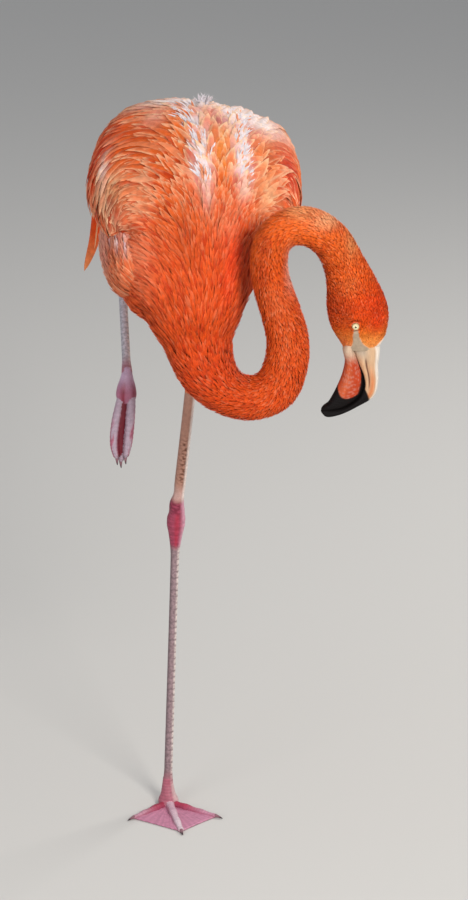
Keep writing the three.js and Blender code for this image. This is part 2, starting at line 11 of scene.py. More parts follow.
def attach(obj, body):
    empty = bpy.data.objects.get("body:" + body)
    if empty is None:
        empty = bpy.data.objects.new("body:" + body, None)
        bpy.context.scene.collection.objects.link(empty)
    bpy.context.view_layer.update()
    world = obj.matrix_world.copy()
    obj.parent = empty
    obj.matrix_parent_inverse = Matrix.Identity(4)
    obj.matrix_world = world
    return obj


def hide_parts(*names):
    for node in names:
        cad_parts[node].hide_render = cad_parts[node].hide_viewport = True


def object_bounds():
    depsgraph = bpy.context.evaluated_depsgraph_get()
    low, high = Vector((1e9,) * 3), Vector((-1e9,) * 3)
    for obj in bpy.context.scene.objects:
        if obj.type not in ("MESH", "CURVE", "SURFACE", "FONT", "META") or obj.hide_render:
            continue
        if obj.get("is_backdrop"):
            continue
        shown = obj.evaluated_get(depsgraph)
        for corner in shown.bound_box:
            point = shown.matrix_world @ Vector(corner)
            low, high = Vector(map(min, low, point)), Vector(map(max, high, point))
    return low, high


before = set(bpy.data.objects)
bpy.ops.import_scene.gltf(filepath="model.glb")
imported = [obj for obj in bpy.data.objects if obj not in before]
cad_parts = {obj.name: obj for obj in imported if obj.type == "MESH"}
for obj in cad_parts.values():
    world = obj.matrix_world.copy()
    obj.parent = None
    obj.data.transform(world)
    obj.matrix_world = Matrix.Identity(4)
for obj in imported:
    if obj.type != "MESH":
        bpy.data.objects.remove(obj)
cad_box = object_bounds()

# A life-size American flamingo on its left leg, with the neck looped to its left.
# Sizes are millimetres until a mesh is made. The bird faces -Y and its left side is +X.
# The skin lies inside the solids by the depth of the coat. Feathers are closed vanes rooted on it.

MM = 0.001
rng = np.random.default_rng(7)

# ---- Sizes shared with the solids ----

SPINE = np.array([
    (50.1, 235, 691.4), (47.2, 178, 723.3),
    (44.2, 123, 745.2), (40.2, 77, 751.3), (35.2, 25, 740.4),
    (30.3, -39, 711.7), (29.3, -97, 676.1), (33.3, -143, 634.4),
    (39.7, -165, 595.7), (50.7, -181, 572.4), (71, -191, 556.5),
    (95.9, -195, 552.5), (118.7, -197, 564), (129.7, -197, 588.8),
    (131.6, -195, 616.6), (124.7, -191, 644.4), (115.7, -187, 672.2), (111.8, -185, 698.1),
    (116.7, -185, 721.9), (133.6, -187, 736.8), (154.5, -190, 737.8),
    (175.4, -193, 724.9), (188.3, -195, 703.1),
    (197.2, -196, 679.2), (202.2, -197, 659.3), (206.2, -197, 641.5),
    (208.4, -197, 624.6), (208.7, -197, 608.7),
], float)
REAR = 0.25                # the body's skin starts here, counted in points of the spine
NECK_BASE = 8
BILL_BASE = 27

ROLL = math.radians(8)
TRUNK_HINT = np.array((-math.cos(ROLL), 0, math.sin(ROLL)))
X_AXIS = np.array((1.0, 0, 0))
Y_AXIS = np.array((0, 1.0, 0))

# [point of the spine, half width, half depth]
TRUNK_SIZE = [(0.3, 16, 10), (1, 22, 15), (2, 27, 22), (3, 58, 53), (4, 79, 76), (5, 88, 88), (6, 78, 82),
              (7, 55, 62), (8, 36, 39)]
WING_HULL = [(0, 52, 14), (1, 70, 26), (2, 78, 38), (3, 80, 53), (4, 82, 75), (5, 87, 87), (6, 78, 82),
             (7, 55, 62)]
NECK_SIZE = [(8, 37, 36), (9, 32, 30.5), (10, 27, 25.5), (11, 25.5, 24.2), (12, 26, 24.8), (13, 25, 23.8),
             (14, 24, 22.8), (16, 22, 20.8), (18, 21, 20.2), (20, 21, 21.2), (22, 21.5, 22), (23, 21.5, 26.6),
             (24, 21.3, 31.2), (25, 20.6, 31.6), (26, 17.4, 26.8), (27, 13.4, 18.6)]
# Wings: angles from the middle of the back, thickness over the trunk.
WING_TOP = [(0, 30), (1, 24), (2, 20), (3, 20), (4, 20), (5, 26), (6, 40), (7, 60)]
WING_LOW = [(0, 118), (1, 124), (2, 128), (3, 128), (4, 124), (5, 108), (5.5, 94), (5.8, 79), (5.92, 62),
            (6.05, 44)]
WING_THICK = [(0, 2), (1, 7), (2, 12), (3, 18), (4, 25), (5, 23), (5.6, 19), (5.9, 13), (6.05, 7)]
WING_EDGE = 4

RAISED_THIGH = [(-22, -160, 668, 8, 10), (-28, -143, 671, 20, 30), (-34, -105, 674, 28, 44),
                (-40, -60, 673, 28.5, 41), (-46, -14, 672, 25, 30), (-51, 35, 677.3, 16, 19),
                (-53.7, 81, 685.2, 7.2, 7.6)]
ANKLE = np.array((0, 1, 24.0))
HOCK = np.array((10.7, 9, 340.0))
SHIN_LEAN = np.array((0.098, -0.27, 0.958))
SHIN_LEAN /= np.linalg.norm(SHIN_LEAN)
SHIN_LENGTH = 332
KNEE = HOCK + SHIN_LEAN * SHIN_LENGTH
STANDING_THIGH = [(0.52, 6.8), (0.59, 12), (0.71, 24), (0.856, 33), (1, 33)]
RAISED_KNEE = np.array((-45.2, -73, 654.1))
RAISED_HOCK = np.array((-60.2, 235, 716.2))
RAISED_ANKLE = np.array((-41.8, -15, 520.9))
HEAD_MIDPLANE = -197
EYE_RADIUS = 5.4
EYE_PLACE = (202.2, 637.6)     # x and z of both eyes
EYE_OUT = 16.4
GAPE = np.array((202.2, HEAD_MIDPLANE, 604.7))
EYE_ON_FACE = (EYE_PLACE[0] - GAPE[0], EYE_PLACE[1] - GAPE[2])


# ---- Curves and sections ----

def unit(vectors):
    return vectors / np.maximum(np.linalg.norm(vectors, axis=-1, keepdims=True), 1e-9)


def smooth_step(low, high, value):
    share = np.clip((value - low) / (high - low), 0, 1)
    return share * share * (3 - 2 * share)


def full_circle(count):
    """Angles of the points round a ring."""
    return np.linspace(0, 2 * np.pi, count, endpoint=False)


def curve(points, where):
    """Places on a centripetal Catmull-Rom curve. where counts the points."""
    points = np.asarray(points, float)
    where = np.atleast_1d(np.asarray(where, float))
    padded = np.vstack([2 * points[0] - points[1], points, 2 * points[-1] - points[-2]])
    first = np.clip(np.floor(where).astype(int), 0, len(points) - 2)
    share = (where - first)[:, None]
    p0, p1, p2, p3 = (padded[first + k] for k in range(4))

    def chord(a, b):
        return np.maximum(np.sum((b - a) ** 2, axis=1) ** 0.25, 1e-4)[:, None]

    d0, d1, d2 = chord(p0, p1), chord(p1, p2), chord(p2, p3)
    start = ((p1 - p0) / d0 - (p2 - p0) / (d0 + d1) + (p2 - p1) / d1) * d1
    end = ((p2 - p1) / d1 - (p3 - p1) / (d1 + d2) + (p3 - p2) / d2) * d1
    square = -3 * p1 + 3 * p2 - 2 * start - end
    cube = 2 * p1 - 2 * p2 + start + end
    return p1 + share * (start + share * (square + share * cube))


def profile(rows, where, column=1):
    """Smooth values through rows of (place, value, value)."""
    table = np.array(rows, float)
    x, y = table[:, 0], table[:, column]
    slopes = np.empty(len(x))
    slopes[1:-1] = (y[2:] - y[:-2]) / (x[2:] - x[:-2])
    slopes[0] = (y[1] - y[0]) / (x[1] - x[0])
    slopes[-1] = (y[-1] - y[-2]) / (x[-1] - x[-2])
    where = np.clip(where, x[0], x[-1])
    i = np.clip(np.searchsorted(x, where, side="right") - 1, 0, len(x) - 2)
    step = x[i + 1] - x[i]
    t = (where - x[i]) / step
    return ((2 * t ** 3 - 3 * t ** 2 + 1) * y[i] + (t ** 3 - 2 * t ** 2 + t) * step * slopes[i]
            + (3 * t ** 2 - 2 * t ** 3) * y[i + 1] + (t ** 3 - t ** 2) * step * slopes[i + 1])


def across_and_up(along, hint):
    across = unit(hint - along * np.sum(along * hint, axis=-1, keepdims=True))
    return across, unit(np.cross(across, along))


def rings(centre, across, up, angle, width, thick):
    """Rings of points [row, column, 3] round a line of centres. width and thick are their half sizes."""
    sideways = across * (np.cos(angle) * width)[..., None]
    return centre[:, None] + sideways + up * (np.sin(angle) * thick)[..., None]


def carried_frames(stations):
    """Trunk frames up to the neck, then frames carried along the neck without twist."""
    fine = np.linspace(0, BILL_BASE, 2701)
    centre = curve(SPINE, fine)
    along = unit(np.gradient(centre, axis=0))
    across, up = across_and_up(along, TRUNK_HINT)
    start = int(np.searchsorted(fine, NECK_BASE - 0.8))
    for k in range(start, len(fine)):
        across[k] = unit(across[k - 1] - along[k] * np.dot(across[k - 1], along[k]))
        up[k] = np.cross(across[k], along[k])
    pick = [np.stack([np.interp(stations, fine, part[:, axis]) for axis in range(3)], axis=1)
            for part in (centre, along, across, up)]
    return pick[0], unit(pick[1]), unit(pick[2]), unit(pick[3])


def body_surface(stations, angles, coat):
    """Skin points [station, angle]. An angle counts from the middle of the back to the bird's right.
    coat gives the depth that the skin keeps below the outline of the solids."""
    centre, along, across, up = (part[:, None, :] for part in carried_frames(stations))
    turn = angles[None, :]
    s = stations[:, None]
    degrees = np.abs(np.degrees((turn + np.pi) % (2 * np.pi) - np.pi))
    depth = coat(s, degrees)

    top, low = profile(WING_TOP, s), profile(WING_LOW, s)
    share = np.clip((degrees - top) / (low - top), 0, 1)
    swell = np.sin(np.pi * (0.02 + 0.78 * share ** 1.15)) ** 2.2
    on_wing = smooth_step(top - 7, top + 5, degrees) * (1 - smooth_step(low - 3, low + 3, degrees))
    on_wing = on_wing * (1 - smooth_step(5.85, 6.2, s))
    rise = WING_EDGE + profile(WING_THICK, s) * swell
    sides = []
    for column in (1, 2):
        trunk = profile(TRUNK_SIZE, s, column)
        hull = np.where(s < 7, profile(WING_HULL, s, column), trunk)
        upper = np.where(degrees < 80, np.maximum(hull, trunk), trunk)
        sides.append(upper + (hull + rise - upper) * on_wing - depth)
    trunk_points = centre + across * np.sin(turn)[..., None] * sides[0][..., None] \
        + up * np.cos(turn)[..., None] * sides[1][..., None]

    neck_across, neck_up = across_and_up(along, Y_AXIS)
    out = across * np.sin(turn)[..., None] + up * np.cos(turn)[..., None]
    angle = np.arctan2(np.sum(out * neck_up, axis=-1), np.sum(out * neck_across, axis=-1))
    half_across = profile(NECK_SIZE, s, 1) - depth
    half_up = profile(NECK_SIZE, s, 2) - depth
    neck_points = centre + neck_across * (np.cos(angle) * half_across)[..., None] \
        + neck_up * (np.sin(angle) * half_up)[..., None]

    blend = smooth_step(NECK_BASE - 0.7, NECK_BASE + 0.3, s)[..., None]
    points = trunk_points * (1 - blend) + neck_points * blend
    # The rear end closes in a rounded edge.
    closing = np.sqrt(np.clip(1 - np.clip((0.6 - s) / (0.6 - REAR), 0, 1) ** 2, 0.0009, 1))[..., None]
    return centre + (points - centre) * closing


def face_flat(points):
    """Places on the head seen from its side: x and z from the corner of the gape."""
    return points[..., 0] - GAPE[0], points[..., 2] - GAPE[2]


def past_eye(points):
    """Distance from the middle of the eye, seen from the side."""
    x, z = face_flat(points)
    return np.hypot(x - EYE_ON_FACE[0], z - EYE_ON_FACE[1])


LORE_BACK = [(-4, -10), (1, -7.7), (6.3, -5.5), (12, -3), (20, -2.7), (28, -2.6)]
LORE_FRONT = [(-4, 20), (1, 17.5), (6.3, 15), (12, 8.6), (16, 6.4), (20, 4.6), (28, 3.6)]


def bare_face(points):
    """1 on the bare skin between bill and eye and round the eye, 0 on the feathered head."""
    x, z = face_flat(points)
    side = np.abs(points[..., 1] - HEAD_MIDPLANE)
    back, front = profile(LORE_BACK, z), profile(LORE_FRONT, z)
    lore = smooth_step(-0.8, 0.8, x - back) * smooth_step(-0.8, 0.8, front - x) * (1 - smooth_step(27, 29, z))
    lore = lore * smooth_step(-6, -4, z) * smooth_step(6, 8, side)
    ridge = smooth_step(-1.2, 1.2, x - z - 13.4) * (1 - smooth_step(13, 19, z)) * (x > 0)
    eye = (1 - smooth_step(4.3, 5.0, past_eye(points))) * smooth_step(6, 8, side)
    return np.clip(np.maximum(np.maximum(lore, eye), ridge), 0, 1) * (z < 45)


BODY_COAT = [(0, 3.2), (2, 4.6), (4, 5.6), (6, 5.2), (8, 4), (10, 3), (14, 2.6), (20, 2.4), (23, 2.2),
             (25, 1.6), (27, 0.9)]


def body_coat(s, degrees):
    """Depth of the coat in millimetres."""
    return profile(BODY_COAT, s) + 0 * degrees


class Tube:
    """A closed sleeve of points [row, column, 3] that feathers root on and run over."""

    def __init__(self, points):
        self.points = points
        self.rows, self.columns = points.shape[:2]
        wrapped = np.concatenate([points[:, -1:], points, points[:, :1]], axis=1)
        by_row = np.gradient(points, axis=0)
        by_column = (wrapped[:, 2:] - wrapped[:, :-2]) / 2
        self.row_step = np.maximum(np.linalg.norm(by_row, axis=2), 1e-3)
        self.column_step = np.maximum(np.linalg.norm(by_column, axis=2), 1e-3)
        self.row_way = unit(by_row)
        self.column_way = unit(by_column)
        normal = unit(np.cross(by_row, by_column))
        middle = points.mean(axis=1, keepdims=True)
        if np.mean(np.sum(normal * (points - middle), axis=2)) < 0:
            normal = -normal
        self.normal = normal

    def read(self, values, rows, columns):
        """Values of a grid at fractional rows and columns."""
        rows = np.clip(rows, 0, self.rows - 1.001)
        columns = columns % self.columns
        i, j = np.floor(rows).astype(int), np.floor(columns).astype(int)
        a, b = rows - i, columns - j
        k = (j + 1) % self.columns
        if values.ndim == 3:
            a, b = a[..., None], b[..., None]
        return (values[i, j] * (1 - a) * (1 - b) + values[i, k] * (1 - a) * b
                + values[i + 1, j] * a * (1 - b) + values[i + 1, k] * a * b)

    def set_flow(self, ways):
        """ways are wished directions [row, column, 3], kept as steps in rows and columns for a millimetre."""
        flat = unit(ways - self.normal * np.sum(ways * self.normal, axis=2, keepdims=True))
        # The two grid directions aren't quite square to each other.
        cross = np.sum(self.row_way * self.column_way, axis=2)
        on_row, on_column = np.sum(flat * self.row_way, axis=2), np.sum(flat * self.column_way, axis=2)
        slack = np.maximum(1 - cross ** 2, 0.2)
        self.flow_row = (on_row - cross * on_column) / slack / self.row_step
        self.flow_column = (on_column - cross * on_row) / slack / self.column_step

    def scatter(self, spacing, count):
        """Roots [row, column] no closer than spacing [row, column], in even random order."""
        area = self.row_step * self.column_step / np.maximum(spacing, 0.1) ** 2
        area[spacing <= 0] = 0
        share = np.cumsum(area.ravel())
        picks = np.searchsorted(share, rng.random(count) * share[-1])
        rows, columns = np.divmod(picks, self.columns)
        rows = np.clip(rows + rng.random(count) - 0.5, 0, self.rows - 1.01)
        columns = columns + rng.random(count) - 0.5
        places = self.read(self.points, rows, columns)
        reach = self.read(spacing, rows, columns)
        tree = KDTree(count)
        for index, place in enumerate(places):
            tree.insert(place, index)
        tree.balance()
        alive = np.ones(count, bool)
        for index in range(count):
            if alive[index]:
                for _, other, _ in tree.find_range(places[index], max(float(reach[index]), 0.3)):
                    if other > index:
                        alive[other] = False
        return rows[alive], columns[alive]


# ---- Colours and markings ----

def linear(code):
    """sRGB hex to linear red, green and blue."""
    parts = [int(code[k:k + 2], 16) / 255 for k in (1, 3, 5)]
    return np.array([p / 12.92 if p <= 0.04045 else ((p + 0.055) / 1.055) ** 2.4 for p in parts])


def toward(tint, goal, share):
    """Moves a linear colour by a share of the way to a goal, which is an sRGB code or linear."""
    goal = linear(goal) if isinstance(goal, str) else goal
    return tint + (goal - tint) * np.asarray(share)[..., None]


def tint_between(stops, where):
    """Linear colours at places along stops of (place, sRGB code)."""
    places = np.array([place for place, _ in stops])
    tints = np.array([linear(code) for _, code in stops])
    return np.stack([np.interp(where, places, tints[:, k]) for k in range(3)], axis=-1)


# Plumage colour along the spine, from rump to bill.
SPINE_TINTS = [(0.3, "#f0c4ac"), (2.5, "#ec9c6c"), (4, "#e66c2c"), (5.2, "#e25e20"), (6.4, "#e0541a"),
               (7.6, "#da4c12"), (9, "#d4430c"), (11, "#d64a0e"), (14, "#da5010"), (17, "#df5610"),
               (20, "#ec661c"), (22.5, "#e85c14"), (24, "#ea4a0a"), (25.2, "#ec5c10"), (26.2, "#f79030"),
               (27, "#f4b47c")]
# Marks on the body: [point of the spine, degrees from the middle of the back, reach along each of these,
# colour, strength]. The two dark red marks at 5.66 and 5.84, near 62 degrees, are painted shadow in the gap
# between the wing and the raised thigh, and the dark orange one at 6.4, 10 degrees is painted shade on the
# breast below the mantle.
BODY_MARKS = [(3.0, 0, 0.6, 40, "#f2e6e2", 0.95), (3.2, -35, 0.5, 30, "#f4eae8", 0.95),
              (3.4, 32, 0.3, 24, "#f2e6e2", 0.98), (3.4, 10, 0.34, 14, "#f4eae8", 0.98),
              (3.7, -26, 0.4, 16, "#f5eeee", 0.98), (3.7, -45, 0.34, 11, "#f4e8e4", 0.95),
              (3.95, -20, 0.3, 6, "#f5ecec", 0.95), (4.2, 5, 0.3, 4, "#f2e6e8", 0.9),
              (4.9, 1, 0.45, 6, "#f6eef2", 0.98), (5.35, -4, 0.3, 5, "#f5ecf0", 0.95),
              (5.75, -7, 0.2, 4, "#f2c4b8", 0.7), (4.5, -28, 0.35, 6, "#f4eaee", 0.95),
              (5.0, -31, 0.3, 6, "#f4eaf0", 0.95), (5.4, -35, 0.22, 5, "#f2ccc0", 0.8),
              (4.15, -13, 0.22, 7, "#c08288", 0.98), (4.9, -15, 0.5, 8, "#ec8430", 0.85),
              (4.5, -14, 0.2, 6, "#ee9a50", 0.6), (4.6, 18, 0.5, 8, "#ea6a20", 0.8),
              (5.55, 44, 0.3, 10, "#e2946a", 0.6), (5.5, 62, 0.32, 7, "#e2a878", 0.85),
              (5.25, 71, 0.3, 4, "#ecc096", 0.8), (5.85, 44, 0.12, 10, "#e08e66", 0.6),
              (4.2, 62, 0.5, 10, "#e04a0c", 0.85), (4.05, 74, 0.5, 8, "#dc3c04", 0.9),
              (4.55, 74, 0.4, 5, "#e04006", 0.9), (4.95, 77, 0.4, 4, "#e04806", 0.9),
              (4.2, 89, 0.8, 3.5, "#f2d6c0", 0.9), (5.0, 90, 0.5, 3.5, "#f0ceb0", 0.9),
              (4.15, 38, 0.25, 7, "#ecb0a0", 0.7), (4.98, 67.5, 0.35, 2.4, "#f3ddd6", 0.85),
              (4.6, 80, 0.5, 5, "#de4208", 0.9), (5.3, 80, 0.3, 5, "#e04a0c", 0.9),
              (5.3, -52, 0.38, 8, "#f0b480", 0.7), (4.5, -68, 0.7, 10, "#e43c08", 0.9),
              (4.6, -50, 0.3, 8, "#ee9450", 0.7), (6.1, -24, 0.35, 12, "#e8845c", 0.5),
              (5.84, 62, 0.15, 6, "#9a2008", 0.98), (5.66, 64, 0.14, 4, "#8e1c08", 0.95),
              (6.6, -36, 0.6, 12, "#f0481a", 0.85), (5.9, 20, 0.4, 25, "#de6428", 0.5),
              (6.7, -20, 0.4, 8, "#cf4410", 0.5), (6.4, 58, 0.5, 18, "#d86c48", 0.8),
              (6.4, 10, 0.5, 14, "#bc4818", 0.65), (7.4, 20, 0.6, 16, "#cc440e", 0.5)]
# Marks on the neck and head: [x, z, their reaches, colour, strength]. The pale marks at (144, 756), (172,
# 748), (197, 725) and (134, 694) are painted rim highlights along the outside of the arch and the inner edge
# of the rising neck; the dark ones at (180, 660) and (191, 650) are painted shade on the side of the head.
NECK_MARKS = [
    (144, 756, 16, 7, "#f4a468", 0.75), (172, 748, 16, 8, "#f6b07c", 0.85), (197, 725, 8, 14, "#f4a464", 0.7),
    (181, 720, 12, 12, "#e26420", 0.6), (156, 714, 12, 7, "#b03008", 0.65), (168, 698, 6, 12, "#b53408", 0.6),
    (109, 720, 7, 16, "#b23a0e", 0.6), (106, 688, 6, 22, "#b8380c", 0.6), (134, 694, 5, 18, "#f2c4b0", 0.9),
    (120, 660, 9, 16, "#dc6a3a", 0.5), (196, 682, 9, 12, "#e6783c", 0.55), (224, 652, 11, 18, "#dc3a0c", 0.8),
    (180, 660, 7, 22, "#b03a10", 0.6), (191, 650, 10, 15, "#a8380e", 0.6), (196, 614, 7, 5, "#f8a060", 0.7),
    (221, 618, 12, 8, "#ffa04c", 0.95), (150, 575, 14, 18, "#d84c18", 0.4), (130, 620, 8, 30, "#d6602e", 0.4),
    (190, 617, 9, 9, "#f27c3c", 0.9), (226, 640, 9, 12, "#ee3c06", 0.6), (208, 650, 8, 7, "#ea440a", 0.5),
]


def body_tint(s, degrees, places):
    """Linear colour of the plumage at a point of the spine, an angle towards the bird's right and a place."""
    under = smooth_step(115, 150, np.abs(degrees)) * (1 - smooth_step(6.2, 7.4, s))
    tint = toward(tint_between(SPINE_TINTS, s), "#e8947a", 0.8 * under)
    for place, turn, reach, width, code, strength in BODY_MARKS:
        near = np.exp(-((s - place) / reach) ** 2 - ((degrees - turn) / width) ** 2)
        tint = toward(tint, code, near * strength)
    on_neck = smooth_step(NECK_BASE, NECK_BASE + 2, s)
    for x, z, wide, high, code, strength in NECK_MARKS:
        near = np.exp(-((places[..., 0] - x) / wide) ** 2 - ((places[..., 2] - z) / high) ** 2)
        tint = toward(tint, code, near * strength * on_neck)
    return tint


def pale_edge(s):
    """How pale the borders of the vanes are: most on the wings and the back."""
    return 0.05 + 0.5 * (1 - smooth_step(5.7, 6.8, s))


# ---- Materials ----

def add_node(tree, kind, inputs=None, **settings):
    """Adds a node with its settings. inputs maps sockets to values or to other nodes' outputs."""
    made = tree.nodes.new(kind)
    for key, value in settings.items():
        setattr(made, key, value)
    for key, value in (inputs or {}).items():
        if isinstance(value, bpy.types.NodeSocket):
            tree.links.new(value, made.inputs[key])
        else:
            made.inputs[key].default_value = value
    return made


def fresh_material(name):
    made = bpy.data.materials.new(name)
    made.use_nodes = True
    made.node_tree.nodes.clear()
    return made, made.node_tree


def vane_material(name, cream, sheen, roughness, barbs):
    """Feather keratin, grown in rows of barbs: a soft sheen, pale worn borders and a fine slant grain."""
    made, tree = fresh_material(name)
    tint = add_node(tree, "ShaderNodeAttribute", attribute_name="tint")
    vane = add_node(tree, "ShaderNodeUVMap", uv_map="Vane")
    place = add_node(tree, "ShaderNodeSeparateXYZ", {"Vector": vane.outputs[0]})
    off_shaft = add_node(tree, "ShaderNodeMath", {0: place.outputs["X"], 1: 0.5}, operation="SUBTRACT")
    off_shaft = add_node(tree, "ShaderNodeMath", {0: off_shaft.outputs[0]}, operation="ABSOLUTE")
    border = add_node(tree, "ShaderNodeMapRange", {"Value": off_shaft.outputs[0], "From Min": 0.22,
                                                   "From Max": 0.5}, interpolation_type="SMOOTHSTEP")
    tip = add_node(tree, "ShaderNodeMapRange", {"Value": place.outputs["Y"], "From Min": 0.72,
                                                "From Max": 1.0}, interpolation_type="SMOOTHSTEP")
    rim = add_node(tree, "ShaderNodeMath", {0: border.outputs[0], 1: tip.outputs[0]}, operation="MAXIMUM")
    rim = add_node(tree, "ShaderNodeMath", {0: rim.outputs[0], 1: tint.outputs["Alpha"]},
                   operation="MULTIPLY")
    where = add_node(tree, "ShaderNodeTexCoord")
    mottle = add_node(tree, "ShaderNodeTexNoise", {"Vector": where.outputs["Object"], "Scale": 180,
                                                   "Detail": 3})
    shade = add_node(tree, "ShaderNodeMapRange", {"Value": mottle.outputs["Fac"], "From Min": 0.3,
                                                  "From Max": 0.7, "To Min": 0.82, "To Max": 1.12})
    colour = add_node(tree, "ShaderNodeMix", {0: rim.outputs[0], 6: tint.outputs["Color"], 7: (*cream, 1)},
                      data_type="RGBA")
    colour = add_node(tree, "ShaderNodeHueSaturation",
                      {"Value": shade.outputs[0], "Color": colour.outputs[2]})
    # Barbs slant from the shaft to the border. On a covert they are about 2 mm apart, coarser than real ones.
    slant = add_node(tree, "ShaderNodeMath", {0: off_shaft.outputs[0], 1: -0.55, 2: place.outputs["Y"]},
                     operation="MULTIPLY_ADD")
    grain = add_node(tree, "ShaderNodeMath", {0: slant.outputs[0], 1: barbs}, operation="MULTIPLY")
    grain = add_node(tree, "ShaderNodeMath", {0: grain.outputs[0]}, operation="SINE")
    bump = add_node(tree, "ShaderNodeBump",
                    {"Strength": 0.35, "Distance": 0.0003, "Height": grain.outputs[0]})
    shader = add_node(tree, "ShaderNodeBsdfPrincipled", {
        "Base Color": colour.outputs[0], "Normal": bump.outputs[0], "Roughness": roughness, "IOR": 1.54,
        "Specular IOR Level": 0.12, "Sheen Weight": 0.06, "Sheen Roughness": 0.5, "Sheen Tint": (*sheen, 1)})
    add_node(tree, "ShaderNodeOutputMaterial", {"Surface": shader.outputs[0]})
    return made


def skin_material(name, roughness, pores, depth, coat=0.0):
    """Skin with the markings of the coat. pores is the size of its grain in millimetres, depth its relief."""
    made, tree = fresh_material(name)
    tint = add_node(tree, "ShaderNodeAttribute", attribute_name="tint")
    where = add_node(tree, "ShaderNodeTexCoord")
    grain = add_node(tree, "ShaderNodeTexVoronoi", {"Vector": where.outputs["Object"], "Scale": 1000 / pores},
                     feature="DISTANCE_TO_EDGE")
    edge = add_node(tree, "ShaderNodeMapRange", {"Value": grain.outputs["Distance"], "From Max": 0.25})
    mottle = add_node(tree, "ShaderNodeTexNoise", {"Vector": where.outputs["Object"], "Scale": 220,
                                                   "Detail": 4})
    value = add_node(tree, "ShaderNodeMapRange", {"Value": mottle.outputs["Fac"], "From Min": 0.3,
                                                  "From Max": 0.7, "To Min": 0.86, "To Max": 1.1})
    value = add_node(tree, "ShaderNodeMath", {0: edge.outputs[0], 1: 0.18, 2: value.outputs[0]},
                     operation="MULTIPLY_ADD")
    value = add_node(tree, "ShaderNodeMath", {0: value.outputs[0], 1: 0.12}, operation="SUBTRACT")
    colour = add_node(tree, "ShaderNodeHueSaturation",
                      {"Value": value.outputs[0], "Color": tint.outputs["Color"]})
    bump = add_node(tree, "ShaderNodeBump", {"Strength": 0.6, "Distance": depth * MM,
                                             "Height": edge.outputs[0]})
    shader = add_node(tree, "ShaderNodeBsdfPrincipled", {
        "Base Color": colour.outputs[0], "Normal": bump.outputs[0], "Roughness": roughness, "IOR": 1.45,
        "Specular IOR Level": 0.3, "Coat Weight": coat, "Coat Roughness": 0.3})
    add_node(tree, "ShaderNodeOutputMaterial", {"Surface": shader.outputs[0]})
    return made


def horn_material(name, roughness, streaks):
    """Bill and claw keratin, grown in long layers: a low waxy gloss and faint streaks in colour and relief."""
    made, tree = fresh_material(name)
    tint = add_node(tree, "ShaderNodeAttribute", attribute_name="tint")
    where = add_node(tree, "ShaderNodeTexCoord")
    turned = add_node(tree, "ShaderNodeMapping", {"Vector": where.outputs["Object"], "Scale": (1, 1, 0.2)})
    streak = add_node(tree, "ShaderNodeTexNoise", {"Vector": turned.outputs[0], "Scale": streaks,
                                                   "Detail": 5})
    value = add_node(tree, "ShaderNodeMapRange", {"Value": streak.outputs["Fac"], "From Min": 0.3,
                                                  "From Max": 0.7, "To Min": 0.86, "To Max": 1.1})
    colour = add_node(tree, "ShaderNodeHueSaturation",
                      {"Value": value.outputs[0], "Color": tint.outputs["Color"]})
    bump = add_node(tree, "ShaderNodeBump",
                    {"Strength": 0.25, "Distance": 0.0002, "Height": streak.outputs["Fac"]})
    shader = add_node(tree, "ShaderNodeBsdfPrincipled", {
        "Base Color": colour.outputs[0], "Normal": bump.outputs[0], "Roughness": roughness, "IOR": 1.54,
        "Specular IOR Level": 0.1})
    add_node(tree, "ShaderNodeOutputMaterial", {"Surface": shader.outputs[0]})
    return made


def eye_material():
    """A live eye under a wet cornea: mirror gloss over a pale iris. The colours are in the mesh."""
    made, tree = fresh_material("wet_cornea_and_iris")
    tint = add_node(tree, "ShaderNodeAttribute", attribute_name="tint")
    where = add_node(tree, "ShaderNodeTexCoord")
    fibre = add_node(tree, "ShaderNodeTexNoise", {"Vector": where.outputs["Object"], "Scale": 1500,
                                                  "Detail": 2})
    value = add_node(tree, "ShaderNodeMapRange", {"Value": fibre.outputs["Fac"], "To Min": 0.85,
                                                  "To Max": 1.12})
    colour = add_node(tree, "ShaderNodeHueSaturation",
                      {"Value": value.outputs[0], "Color": tint.outputs["Color"]})
    shader = add_node(tree, "ShaderNodeBsdfPrincipled", {"Base Color": colour.outputs[0], "Roughness": 0.12,
                                                         "IOR": 1.38, "Coat Weight": 1.0,
                                                         "Coat Roughness": 0.03})
    add_node(tree, "ShaderNodeOutputMaterial", {"Surface": shader.outputs[0]})
    return made


# Contour feathers are matt, black ones glossier. barbs counts along a whole vane, so long ones take more.
contour_feather = vane_material("contour_feather_keratin", linear("#f6c89c"), linear("#f0a070"), 0.65, 150)
long_feather = vane_material("long_plume_keratin", linear("#f6c69a"), linear("#f0a070"), 0.6, 420)
black_feather = vane_material("flight_feather_melanin_keratin", linear("#3a2c2a"), linear("#8a7a78"), 0.42,
                              420)
# Hide is dry and hardly seen, the face powdery. Leg scales have a dull gloss, joints and webs a bit more.
hide = skin_material("feathered_hide", 0.75, 2.2, 0.3)
bare_skin = skin_material("bare_powdery_face_skin", 0.6, 0.7, 0.08)
leg_skin = skin_material("scaled_leg_skin", 0.5, 1.6, 0.12, 0.1)
joint_skin = skin_material("soft_joint_and_web_skin", 0.48, 1.1, 0.1, 0.15)
# The bill is worn dull, and the claws are a little glossier.
bill_horn = horn_material("bill_keratin", 0.62, 500)
claw_horn = horn_material("claw_keratin", 0.4, 900)
eye_wet = eye_material()


# Kinds of skin, in the order of the skin's materials.
SKIN_MATERIALS = [hide, bare_skin, leg_skin, joint_skin]
HIDE, FACE, SCALES, WEB = range(len(SKIN_MATERIALS))


# ---- Meshes ----

